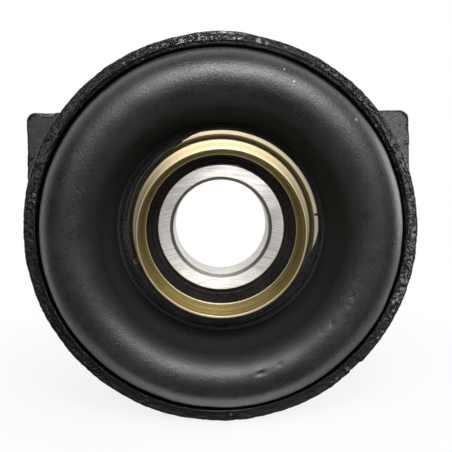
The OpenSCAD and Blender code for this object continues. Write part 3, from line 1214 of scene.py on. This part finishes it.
    def bolt_cutter(self, side: float) -> Object:
        """Cutter of a tapped hole: its radius follows a V thread, a triangle wave of height / pitch - turn.

        Args:
            side: -1 for the left lug, 1 for the right.

        Returns:
            The closed cutter.
        """
        theta = np.linspace(0.0, 2.0 * np.pi, self.cutter_columns, endpoint=False)[None, :]
        bottom, top = self.lug_top - self.bolt_depth, self.lug_top + self.cutter_over
        z = np.linspace(bottom, top, self.thread_rows)[:, None]
        phase = (z - bottom) / self.thread_pitch - theta / (2.0 * np.pi)
        thread = 2.0 * np.abs(phase % 1.0 - 0.5)
        cutting = smooth_step(z - bottom, *self.thread_end)
        r = self.bolt_r + (self.thread_r - self.bolt_r) * thread * cutting
        r = np.maximum(r, self.bolt_r + np.clip(z - self.lug_top + self.bolt_sink, 0.0, self.sink_most))
        floor = np.array(self.floor_shares)[:, None] * self.bolt_r * np.ones_like(theta)
        r = np.concatenate([floor, r, floor[::-1]])
        drop = bottom - self.drill_slope * (self.bolt_r - floor[:, :1])
        z = np.concatenate([drop, z, np.full((2, 1), top)])
        places = np.broadcast_arrays(side * self.bolt_x + r * np.cos(theta), r * np.sin(theta), z)
        return grid_object("bolt_cutter", np.stack(places, axis=-1))

    def dip_cutter(self) -> Object:
        """Cutter of the cast dip in the left lug's front edge: a slightly uneven ball.

        Returns:
            The closed cutter.
        """
        up = np.linspace(self.dip_pole, np.pi - self.dip_pole, self.dip_rows)[:, None]
        turn = np.linspace(0.0, 2.0 * np.pi, self.cutter_columns, endpoint=False)[None, :]
        ways = np.broadcast_arrays(np.sin(up) * np.cos(turn), np.sin(up) * np.sin(turn), np.cos(up))
        ball = np.stack(ways, axis=-1)
        size = self.dip_r * (1.0 + self.dip_uneven * self.dip_waves.at(ball * self.dip_r))
        points = ball * size[..., None] + np.array([-self.bolt_x, -self.lug_end, self.dip_z])
        return grid_object("dip_cutter", points)

    def finish(self, material: Material) -> Object:
        """Builds the ring, cuts its holes, dresses it and sets it on its body.

        Args:
            material: its finish.

        Returns:
            The piece.
        """
        piece = grid_object(Piece.RING.value, self.points())
        merge_doubles(piece)
        self.roughen(piece)
        for cutter in (self.bolt_cutter(-1.0), self.bolt_cutter(1.0), self.dip_cutter()):
            merge_doubles(cutter)
            cut(piece, cutter)
        dress(piece, material)
        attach(piece, Body.RING.value)
        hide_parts("housing")
        LOG.info("%s stands for housing", piece.name)
        return piece


@dataclass(frozen=True)
class Nick:
    """A small cut in the roll's skin: its angles round the shaft and on the roll, half length and depth."""

    angle: float
    roll: float
    long: float
    deep: float
    wide: float = 0.40
    outer_share: float = 0.9

    def depth_at(self, outline: np.ndarray, theta: np.ndarray, middle: Span, out: float) -> np.ndarray:
        """Depth of the cut: deep * exp(-(along / long)^2 - (across / wide)^2), on the outer skin only.

        Args:
            outline: the cushion's section, as (radius, distance in front) rows.
            theta: angles round the shaft, in radians.
            middle: middle of the roll in the section.
            out: radius of the roll's outer skin.

        Returns:
            Depths in millimetres, as outline rows by angles.
        """
        r, f = (outline - middle).T
        across = (np.arctan2(f, r) - radians(self.roll)) * out
        skin = np.exp(-((across / self.wide) ** 2)) * (np.hypot(r, f) > self.outer_share * out)
        along = np.radians(angle_from(theta, self.angle)) * (middle[0] + out * cos(radians(self.roll)))
        return self.deep * skin[:, None] * np.exp(-((along / self.long) ** 2))[None, :]


@dataclass
class Cushion:
    """The rubber cushion: a foot on the sleeve, a thin leg, one big forward roll and a tail in the shell.

    Sizes are in millimetres and angles in degrees.
    """

    roll_r: float = 42.55
    roll_f: float = 23.0
    out: float = 8.55
    inside: float = 4.05
    grip_r: float = 30.22
    foot: float = 4.7
    foot_f: float = -8.0
    lip_r: float = 31.9
    lip_f: float = 9.9
    lip_step: float = 0.8
    throat_r: float = 32.6
    throat_f: float = 13.4
    throat_soft: float = 9.0
    tail: float = 2.0
    tail_f: float = -14.0
    sway: float = 0.22
    sway_waves: Waves = Waves(31, 22.0, 90.0, 16)
    fold: float = 0.10
    fold_waves: Waves = Waves(32, 6.0, 16.0, 20)
    sag: Patch = Patch(270.0, 25.0, 95.0, 0.65)
    flank: Span = (1.0, 6.0)
    free_f: Span = (12.0, 20.0)
    still_r: float = 36.0
    fixed_r: float = 46.0
    columns: int = 400
    step: float = 1.4
    outer_points: int = 65
    inner_points: int = 33
    nicks: tuple[Nick, ...] = (
        Nick(335.2, 114.0, 1.0, 0.40),
        Nick(331.5, 114.0, 0.7, 0.20),
        Nick(285.2, 114.0, 1.2, 0.45),
        Nick(293.8, 118.0, 0.6, 0.30),
        Nick(321.2, 119.0, 0.6, 0.30),
        Nick(337.5, 153.0, 0.8, 0.20),
    )

    def outline(self) -> np.ndarray:
        """Outline of the section: outer arc, throat, foot, inner arc and tail, in order.

        Returns:
            (radius, distance in front) rows.
        """
        shell_r = self.roll_r + self.out
        outer = arc(self.roll_r, self.roll_f, self.out, 0.0, 180.0, self.outer_points)
        throat = (Corner(self.throat_r, self.throat_f, self.throat_soft),
                  Corner(self.lip_r, self.lip_f, 0.5),
                  Corner(self.grip_r, self.lip_f - self.lip_step, 0.1))
        foot = (Corner(self.grip_r, self.foot_f, 0.8), Corner(self.grip_r + self.foot, self.foot_f, 1.2))
        inner = arc(self.roll_r, self.roll_f, self.inside, 180.0, 0.0, self.inner_points)
        tail = (Corner(shell_r - self.tail, self.tail_f, 0.9), Corner(shell_r, self.tail_f, 0.7))
        return Section(outer + throat + foot + inner + tail, self.step).outline()

    def points(self) -> np.ndarray:
        """Carries the outline round the shaft, and pulls its skin slightly in by slow waves along normals.

        The outer flank sags in a little more at the bottom, and the nicks are cut last.

        Returns:
            Places as rows, columns, xyz in millimetres.
        """
        outline = self.outline()
        theta = np.linspace(0.0, 2.0 * np.pi, self.columns, endpoint=False)
        ahead = np.roll(outline, -1, axis=0) - np.roll(outline, 1, axis=0)
        ahead /= np.linalg.norm(ahead, axis=1)[:, None]
        inward = np.stack([-ahead[:, 1], ahead[:, 0]], axis=-1)
        plain = on_shaft(outline[:, 0, None], outline[:, 1, None], theta[None, :])
        depth = self.sway * 0.5 * (1.0 + self.sway_waves.at(plain))
        depth += self.fold * 0.5 * (1.0 + self.fold_waves.at(plain))
        flank = smooth_step(outline[:, 0] - self.roll_r, *self.flank)
        depth += self.sag.at(theta)[None, :] * flank[:, None]
        depth *= smooth_step(outline[:, 1], *self.free_f)[:, None]
        middle = (self.roll_r, self.roll_f)
        depth += sum(nick.depth_at(outline, theta, middle, self.out) for nick in self.nicks)
        r = outline[:, 0, None] + inward[:, 0, None] * depth
        f = outline[:, 1, None] + inward[:, 1, None] * depth
        return on_shaft(r, f, theta[None, :])

    def finish(self, material: Material) -> Object:
        """Builds the cushion, dresses it and bakes its place into its mesh.

        Args:
            material: its finish.

        Returns:
            The piece.
        """
        piece = grid_object(Piece.CUSHION.value, self.points())
        dress(piece, material)
        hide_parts("rubber_cushion")
        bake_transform(piece)
        place = np.empty(len(piece.data.vertices) * 3, np.float32)
        piece.data.vertices.foreach_get("co", place)
        LOG.info("%s stands for rubber_cushion", piece.name)
        return piece


@dataclass
class MouldFlash:
    """Film of rubber that the mould left over the sleeve's front edge, with a rounded ridge outside it.

    Sizes are in millimetres and angles in degrees.
    """

    bare: Patch = Patch(50.0, 46.0, 76.0, 1.0)
    tag: Patch = Patch(8.0, 0.4, 1.3, 0.55)
    window: Patch = Patch(200.0, 0.6, 2.6, 0.45)
    bare_r: float = 30.3
    cover_r: float = 28.1
    least_r: float = 27.85
    out_r: float = 32.2
    tear: float = 0.06
    tear_turn: float = 1.2
    tear_waves: Waves = Waves(41, 0.9, 3.5)
    wander: float = 0.22
    wander_waves: Waves = Waves(42, 8.0, 40.0, 18)
    swell_waves: Waves = Waves(43, 5.0, 24.0, 18)
    drift_waves: Waves = Waves(44, 9.0, 40.0, 18)
    face_f: float = 9.02
    thick: float = 0.14
    thin_share: float = 0.15
    film_rise: float = 0.3
    ridge_r: float = 30.85
    ridge_h: float = 0.75
    ridge_w: float = 0.42
    ridge_drift: float = 0.15
    ridge_swell: float = 0.4
    crease_r: float = 29.5
    crease_h: float = 0.20
    crease_w: float = 0.16
    crease_drift: float = 0.35
    crease_in: Span = (0.2, 0.8)
    columns: int = 1080
    rows: int = 34
    under_step: int = 8

    def inner_edge(self, theta: np.ndarray, around: np.ndarray) -> np.ndarray:
        """Radius of the torn inner edge: cover_r, drawn back to bare_r over the bare arc and a small window.

        One small tag of rubber stays across the bare arc. Fine and slow sines make the tears.

        Args:
            theta: angles in radians.
            around: places on the ridge at those angles, in millimetres.

        Returns:
            Radius in millimetres.
        """
        tear = self.tear_waves.at(around)
        wander = self.wander_waves.at(around)
        bare = self.bare.at(theta, self.tear_turn * tear) * (1.0 - self.tag.at(theta))
        bare = np.maximum(bare, self.window.at(theta))
        edge = self.cover_r + (self.bare_r - self.cover_r) * bare
        return np.maximum(edge + self.tear * tear + self.wander * wander * (1.0 - bare), self.least_r)

    def points(self) -> np.ndarray:
        """Carries a thin section round the sleeve, whose height is a function of radius and angle.

        Over the flat underside stand a film that rises from the torn edge, a bell-shaped ridge that swells
        and wanders slowly, and a lower crease inside it.

        Returns:
            Places as rows, columns, xyz in millimetres.
        """
        theta = np.linspace(0.0, 2.0 * np.pi, self.columns, endpoint=False)
        around = on_shaft(np.full_like(theta, self.ridge_r), np.zeros_like(theta), theta)
        inner = self.inner_edge(theta, around)[None, :]
        swell = self.swell_waves.at(around)[None, :]
        drift = self.drift_waves.at(around)[None, :]
        share = np.linspace(0.0, 1.0, self.rows)[:, None]
        r = inner + share * (self.out_r - inner)
        risen = smooth_step(r - inner, 0.0, self.film_rise)
        film = self.thick * (self.thin_share + (1.0 - self.thin_share) * risen)
        bell = np.exp(-(((r - self.ridge_r - self.ridge_drift * drift) / self.ridge_w) ** 2))
        fold = np.exp(-(((r - self.crease_r - self.crease_drift * drift) / self.crease_w) ** 2))
        covered = smooth_step(r - inner, *self.crease_in)
        top = self.face_f + film + self.ridge_h * (1.0 + self.ridge_swell * swell) * bell
        top = top + self.crease_h * (1.0 + swell) * fold * covered
        under_r = r[::-self.under_step]
        r, f = np.concatenate([r, under_r]), np.concatenate([top, np.full_like(under_r, self.face_f)])
        return on_shaft(r, f, theta[None, :])

    def finish(self, material: Material) -> Object:
        """Builds the film, dresses it and sets it on the carrier.

        Args:
            material: its finish.

        Returns:
            The piece.
        """
        piece = grid_object(Piece.FLASH.value, self.points())
        dress(piece, material)
        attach(piece, Body.CARRIER.value)
        LOG.info("%s added", piece.name)
        return piece


@dataclass
class Bearing:
    """The sealed ball bearing with the sleeve and collar that hold it, in millimetres."""

    bore_r: float = 15.0
    inner_r: float = 19.9
    outer_r: float = 22.92
    bearing_r: float = 27.5
    half_w: float = 6.5
    chamfer: float = 1.0
    small_chamfer: float = 0.3
    pitch_r: float = 21.25
    groove_r: float = 3.62
    groove_points: int = 15
    seal_r: float = 24.62
    seal_back: float = 4.6
    seal_face: float = 5.9
    lip_gap: float = 0.05
    lip_drop: float = 0.6
    bead_r: float = 21.2
    bead: float = 0.3
    rim_w: float = 0.6
    rim_drop: float = 0.15
    rim_slope: float = 0.1
    sleeve_r: float = 30.2
    sleeve_lip_r: float = 25.5
    sleeve_front: float = 9.0
    sleeve_rear: float = -8.0
    sleeve_lead: float = 1.4
    collar_f: float = 21.4
    collar_r: float = 24.7
    collar_edge: float = 0.7
    collar_root_r: float = 24.8
    collar_flange: float = 8.9
    collar_rise: float = 0.1
    lip_r: float = 22.7
    lip_f: float = 12.5
    lip_band: float = 2.5
    lip_flare: float = 0.6
    lip_land: float = 0.6
    plated_columns: int = 480

    def groove(self, land: float, outward: bool) -> tuple[Corner, ...]:
        """Corners along a ball groove in a race.

        Args:
            land: radius of the race's shoulder.
            outward: whether the groove lies in the outer race.

        Returns:
            Corners from the front of the groove to its rear.
        """
        half = float(np.degrees(np.arccos(abs(land - self.pitch_r) / self.groove_r)))
        start, end = (half, -half) if outward else (180.0 - half, 180.0 + half)
        return arc(self.pitch_r, 0.0, self.groove_r, start, end, self.groove_points)

    def inner_race(self) -> TurnedPart:
        """Inner race, with ground faces and chamfers to the bore.

        Returns:
            The turned part.
        """
        edge = self.inner_r - self.small_chamfer
        front = (Corner(self.bore_r, self.half_w - self.chamfer, 0.2),
                 Corner(self.bore_r + self.chamfer, self.half_w, 0.12),
                 Corner(edge, self.half_w, 0.12),
                 Corner(self.inner_r, self.half_w - self.small_chamfer, 0.1))
        rear = tuple(Corner(c.r, -c.f, c.soft) for c in front[::-1])
        section = Section(front + self.groove(self.inner_r, False) + rear, step=0.7)
        return TurnedPart(Piece.INNER_RACE, "inner_race", Body.SHAFT_RACE, Slot.RACE, section)

    def outer_race(self) -> TurnedPart:
        """Outer race, with a seat for each seal.

        Returns:
            The turned part.
        """
        front = (Corner(self.outer_r, self.seal_back, 0.1),
                 Corner(self.seal_r, self.seal_back),
                 Corner(self.seal_r, self.half_w, 0.15),
                 Corner(self.bearing_r - self.chamfer, self.half_w, 0.15),
                 Corner(self.bearing_r, self.half_w - self.chamfer, 0.2))
        rear = tuple(Corner(c.r, -c.f, c.soft) for c in front[::-1])
        section = Section(front + rear + self.groove(self.outer_r, True)[::-1], step=0.9)
        return TurnedPart(Piece.OUTER_RACE, "outer_race", Body.CARRIER, Slot.RACE, section)

    def seal(self, name: Piece, node: str, side: float) -> TurnedPart:
        """A seal with its lip, bead and rim.

        Args:
            name: which piece it is.
            node: CAD node that it stands for.
            side: 1 at the front, -1 at the rear.

        Returns:
            The turned part.
        """
        face, low, high = self.seal_face, self.seal_face - self.lip_drop, self.seal_face + self.bead
        lip_r, bead_r, rim_r = self.inner_r + self.lip_gap, self.bead_r, self.seal_r - self.rim_w
        rim_f = face - self.rim_drop
        shape = (Corner(lip_r, low, 0.05), Corner(bead_r, low, 0.15), Corner(bead_r, high, 0.14),
                 Corner(bead_r + self.bead, high, 0.14), Corner(bead_r + 2.0 * self.bead, face, 0.2),
                 Corner(rim_r - self.rim_slope, face, 0.1), Corner(rim_r, rim_f, 0.1),
                 Corner(self.seal_r, rim_f, 0.1), Corner(self.seal_r, self.seal_back, 0.1),
                 Corner(bead_r, self.seal_back, 0.2), Corner(lip_r, self.seal_back + self.bead, 0.05))
        corners = tuple(Corner(c.r, side * c.f, c.soft) for c in shape)
        return TurnedPart(name, node, Body.CARRIER, Slot.SEAL, Section(corners, step=0.5))

    def sleeve(self) -> TurnedPart:
        """Plated sleeve round the outer race, with a chamfered mouth and a lip turned in behind the race.

        Returns:
            The turned part.
        """
        corners = (Corner(self.bearing_r, self.sleeve_front - self.sleeve_lead, 0.1),
                   Corner(self.bearing_r + self.sleeve_lead, self.sleeve_front, 0.12),
                   Corner(self.sleeve_r, self.sleeve_front, 0.2),
                   Corner(self.sleeve_r, self.sleeve_rear, 0.5),
                   Corner(self.sleeve_lip_r, self.sleeve_rear, 0.5),
                   Corner(self.sleeve_lip_r, -self.half_w, 0.3),
                   Corner(self.bearing_r, -self.half_w, 0.1))
        return TurnedPart(Piece.SLEEVE, "bearing_sleeve", Body.CARRIER, Slot.PLATED, Section(corners),
                          self.plated_columns)

    def collar(self) -> TurnedPart:
        """Plated collar: a flange in the sleeve, a tube in front of it, and a lip inside.

        Returns:
            The turned part.
        """
        seat = self.collar_flange - self.small_chamfer
        corners = (Corner(self.collar_r, self.collar_f, 0.15),
                   Corner(self.collar_r - self.collar_edge, self.collar_f, 0.2),
                   Corner(self.lip_r + self.lip_flare, self.lip_f + self.lip_band, 0.5),
                   Corner(self.lip_r, self.lip_f, 0.25),
                   Corner(self.lip_r, self.lip_f - self.lip_land, 0.25),
                   Corner(self.seal_r, seat, 0.5),
                   Corner(self.seal_r, self.half_w, 0.1),
                   Corner(self.bearing_r, self.half_w, 0.1),
                   Corner(self.bearing_r, seat, 0.15),
                   Corner(self.bearing_r - self.small_chamfer, self.collar_flange, 0.15),
                   Corner(self.collar_root_r, self.collar_flange + self.collar_rise, 0.2))
        section = Section(corners, step=0.5)
        return TurnedPart(Piece.COLLAR, "front_collar", Body.CARRIER, Slot.PLATED, section,
                          self.plated_columns)


@dataclass
class Shell:
    """Pressed steel shell between the ring and the rubber, in millimetres."""

    in_r: float = 51.1
    out_r: float = 52.4
    end: float = 20.2
    soft: float = 0.4
    columns: int = 480

    def part(self) -> TurnedPart:
        """The shell as a turned part.

        Returns:
            The turned part.
        """
        corners = (Corner(self.in_r, self.end, self.soft), Corner(self.out_r, self.end, self.soft),
                   Corner(self.out_r, -self.end, self.soft), Corner(self.in_r, -self.end, self.soft))
        return TurnedPart(Piece.SHELL, "cushion_shell", Body.RING, Slot.SHELL, Section(corners, step=2.0),
                          self.columns)


@dataclass(frozen=True)
class SoftBox:
    """One rectangular lamp that points at the shaft's middle, or at another place.

    It has a place, a size in metres and a power. It may be masked so that it lights some pieces only, or all
    but some.
    """

    name: str
    place: Place
    size: tuple[float, float]
    watts: float
    only: tuple[Piece, ...] = ()
    spare: tuple[Piece, ...] = ()
    aim: Place = (0.0, 0.0, 0.0)

    def group(self, use: str, pieces: tuple[Piece, ...], state: str = "INCLUDE") -> bpy.types.Collection:
        """Collects some pieces for one of the lamp's masks.

        Args:
            use: what the mask does.
            pieces: the pieces.
            state: whether the pieces are the ones included or the ones left out.

        Returns:
            The collection.
        """
        mask = bpy.data.collections.new(f"{self.name}_{use}")
        for piece in pieces:
            mask.objects.link(bpy.data.objects[piece.value])
        for entry in mask.collection_objects:
            entry.light_linking.link_state = state
        return mask

    def add(self) -> None:
        """Hangs the lamp, once the pieces stand."""
        data = bpy.data.lights.new(self.name, "AREA")
        data.shape = "RECTANGLE"
        data.size, data.size_y = self.size
        data.energy = self.watts
        lamp = bpy.data.objects.new(self.name, data)
        lamp.visible_camera = False
        lamp.location = self.place
        ahead = Vector(self.aim) - Vector(self.place)
        lamp.rotation_euler = ahead.to_track_quat("-Z", "Y").to_euler()
        bpy.context.scene.collection.objects.link(lamp)
        if self.only:
            lamp.light_linking.receiver_collection = self.group("lights", self.only)
        if self.spare:
            lamp.light_linking.receiver_collection = self.group("spares", self.spare, "EXCLUDE")


@dataclass
class Studio:
    """White floor and background, soft lamps, and the camera in front of the part."""

    eye: Place = (-0.0021, -0.1715, 0.0212)
    pitch: float = -7.13
    yaw: float = 1.26
    roll: float = -0.56
    lens: float = 42.29
    sensor: float = 36.0
    clip: float = 0.005
    white: Colour = (1.0, 1.0, 1.0, 1.0)
    floor_paint: Colour = (0.92, 0.92, 0.92, 1.0)
    floor_half: float = 3.0
    floor_z: float = -0.0563
    floor_glow: float = 0.86
    floor_turn: Span = (-0.03, 0.02)
    shade: Span = (0.05, 0.14)
    room: float = 0.25
    room_turn: Span = (-0.15, 0.35)
    front: float = 0.065
    lamps: tuple[SoftBox, ...] = (
        SoftBox("key_box", (0.03, -0.195, 0.168), (0.34, 0.19), 0.75, spare=RING),
        SoftBox("key_core", (0.025, -0.190, 0.172), (0.06, 0.04), 0.16, spare=RING),
        SoftBox("right_box", (0.16, -0.31, 0.04), (0.10, 0.10), 0.34, RING),
        SoftBox("low_right_box", (0.095, -0.190, -0.043), (0.08, 0.022), 0.11, RING),
        SoftBox("left_box", (-0.155, -0.31, 0.04), (0.10, 0.10), 0.13, RING),
        SoftBox("top_box", (0.0, -0.31, 0.13), (0.05, 0.05), 0.30, RING),
        SoftBox("flash_box", (-0.04, -0.30, 0.0), (0.15, 0.15), 0.045, (Piece.FLASH,)),
        SoftBox("glint_box", (0.02, -0.19, 0.19), (0.04, 0.04), 0.28, RING),
        SoftBox("rim_box", (0.03, -0.06, 0.30), (0.05, 0.05), 0.60, RING),
        SoftBox("right_crest_box", (0.12, -0.30, 0.05), (0.20, 0.18), 0.085, ROLL),
        SoftBox("left_crest_box", (-0.12, -0.30, 0.05), (0.20, 0.18), 0.045, ROLL),
        SoftBox("limb_box", (0.01, -0.0285, -0.0557), (0.24, 0.011), 0.0064, ROLL, aim=(0.01, -0.0285, 0.0)),
        SoftBox("side_box", (0.45, 0.12, -0.02), (0.30, 0.50), 1.0),
        SoftBox("race_box", (0.035, -0.30, 0.05), (0.12, 0.15), 0.34, (Piece.INNER_RACE,)),
        SoftBox("low_plate_box", (0.03, -0.30, -0.03), (0.16, 0.09), 0.045, PLATED),
        SoftBox("high_plate_box", (0.02, -0.30, 0.075), (0.20, 0.08), 0.12, PLATED),
    )

    def camera(self) -> None:
        """Sets the camera by its place, pitch, yaw and roll."""
        data = bpy.data.cameras.new("camera")
        data.lens = self.lens
        data.sensor_width = self.sensor
        data.clip_start = self.clip
        camera = bpy.data.objects.new("camera", data)
        camera.location = self.eye
        pitch, yaw = radians(self.pitch), radians(self.yaw)
        ahead = Vector((sin(yaw) * cos(pitch), cos(yaw) * cos(pitch), sin(pitch)))
        turn = ahead.to_track_quat("-Z", "Y") @ Quaternion((0.0, 0.0, 1.0), radians(self.roll))
        camera.rotation_euler = turn.to_euler()
        bpy.context.scene.collection.objects.link(camera)
        bpy.context.scene.camera = camera

    @staticmethod
    def seen(graph: Graph) -> tuple[Socket, Socket]:
        """Which rays show the white background.

        Args:
            graph: the tree that asks.

        Returns:
            A socket that is 1 for camera, glossy and transmission rays, and one for camera rays alone.
        """
        path = graph.add("ShaderNodeLightPath")
        mirror = graph.math("MAXIMUM", path.outputs["Is Glossy Ray"], path.outputs["Is Transmission Ray"])
        return graph.math("MAXIMUM", path.outputs["Is Camera Ray"], mirror), path.outputs["Is Camera Ray"]

    def floor(self) -> None:
        """Lays the floor: white to rays that see the background, with the shadow near the part left in.

        Gloss sees it dim on the camera's side, like the room there.
        """
        half, z = self.floor_half, self.floor_z
        corners = [(-half, -half, z), (half, -half, z), (half, half, z), (-half, half, z)]
        mesh = bpy.data.meshes.new("floor")
        mesh.from_pydata(corners, [], [(0, 1, 2, 3)])
        floor = bpy.data.objects.new("floor", mesh)
        bpy.context.scene.collection.objects.link(floor)
        material = bpy.data.materials.new("white_floor")
        material.use_nodes = True
        graph = Graph(material.node_tree)
        seen, camera = self.seen(graph)
        matt = graph.add("ShaderNodeBsdfDiffuse", {"Color": self.floor_paint})
        x, y, _ = graph.axes()
        shown = graph.math("MAXIMUM", graph.span(y, *self.floor_turn, self.front, 1.0), camera)
        glow = graph.add("ShaderNodeEmission", {"Color": self.white, "Strength": shown})
        keep = graph.span(graph.length(x, y), *self.shade, self.floor_glow, 1.0)
        share = graph.math("MULTIPLY", seen, keep)
        both = graph.add("ShaderNodeMixShader", {0: share, 1: matt.outputs[0], 2: glow.outputs[0]})
        graph.add("ShaderNodeOutputMaterial", {"Surface": both.outputs[0]})
        mesh.materials.append(material)

    def world(self) -> None:
        """Sets the room: white behind the part and wherever the camera looks, dim on the camera's side."""
        world = bpy.data.worlds.new("room")
        bpy.context.scene.world = world
        world.use_nodes = True
        graph = Graph(world.node_tree)
        seen, camera = self.seen(graph)
        ray = graph.add("ShaderNodeTexCoord").outputs["Generated"]
        way = graph.add("ShaderNodeSeparateXYZ", {"Vector": ray})
        back = graph.span(way.outputs[1], *self.room_turn, self.front, 1.0)
        shown = graph.math("MAXIMUM", back, camera)
        strength = graph.add("ShaderNodeMix", {0: seen, 2: self.room, 3: shown}, data_type="FLOAT")
        glow = graph.add("ShaderNodeBackground", {"Color": self.white, "Strength": strength.outputs[0]})
        graph.add("ShaderNodeOutputWorld", {"Surface": glow.outputs[0]})

    def build(self) -> None:
        """Sets everything that isn't part of the object."""
        self.camera()
        self.floor()
        self.world()
        for lamp in self.lamps:
            lamp.add()
        bpy.context.scene.view_settings.view_transform = "Standard"
        LOG.info("studio set")


@dataclass
class Finishes:
    """Every material of the part, built once."""

    effects: Effects
    dusty_dark: Colour = (0.003, 0.003, 0.003, 1.0)
    dusty_bloom: Colour = (0.030, 0.030, 0.030, 1.0)
    cage_bright: Colour = (0.55, 0.53, 0.49, 1.0)
    cage_dull: Colour = (0.42, 0.40, 0.36, 1.0)
    fine_depth: float = 0.00006

    def __post_init__(self) -> None:
        """Builds the materials from their finishes."""
        dusty = {"dark": self.dusty_dark, "bloom": self.dusty_bloom, "depth": self.fine_depth}
        shell = GlossPaint("gloss_black_shell", lumps=500.0, pores=1800.0, depth=self.fine_depth)
        flash = MouldedRubber("flash_rubber", **dusty, rough=(0.10, 0.24), dull_to=0.026, dull_end=0.027,
                              specular=0.5)
        seal = MouldedRubber("seal_rubber", **dusty, flecks=0.004, dull_to=0.010, dull_end=0.011,
                             specular=0.25)
        cage = PlainSteel("pressed_steel", bright=self.cage_bright, dull=self.cage_dull, rough=(0.28, 0.45),
                          depth=0.00001)
        self.casting = GlossPaint("gloss_black_casting").material(self.effects)
        self.shell = shell.material(self.effects)
        self.cushion = MouldedRubber("cushion_rubber").material(self.effects)
        self.flash = flash.material(self.effects)
        self.seal = seal.material(self.effects)
        self.plate = YellowPlate("yellow_plate").material(self.effects)
        self.race = GroundSteel("ground_steel").material(self.effects)
        self.ball = PlainSteel("polished_steel").material(self.effects)
        self.cage = cage.material(self.effects)


def dress_balls(finishes: Finishes) -> None:
    """Dresses the CAD nodes of the balls and their cage, whose shapes stay.

    Args:
        finishes: the part's materials.
    """
    for name in frame["record"]["behaviour"]["bodies"][Body.BALL_SET.value]:
        node = frame["nodes"][name]
        dress(node, finishes.ball if name.startswith("ball") else finishes.cage)
        LOG.info("%s dressed", name)


def main() -> None:
    """Builds every piece in order, then the studio."""
    logging.basicConfig(level=logging.INFO, format="%(name)s: %(message)s")
    finishes = Finishes(Effects())
    CastRing().finish(finishes.casting)
    Shell().part().finish(finishes.shell)
    Cushion().finish(finishes.cushion)
    MouldFlash().finish(finishes.flash)
    bearing = Bearing()
    bearing.sleeve().finish(finishes.plate)
    bearing.collar().finish(finishes.plate)
    bearing.outer_race().finish(finishes.race)
    bearing.inner_race().finish(finishes.race)
    bearing.seal(Piece.FRONT_SEAL, "front_seal", 1.0).finish(finishes.seal)
    bearing.seal(Piece.REAR_SEAL, "rear_seal", -1.0).finish(finishes.seal)
    dress_balls(finishes)
    Studio().build()


if __name__ == "__main__":
    main()
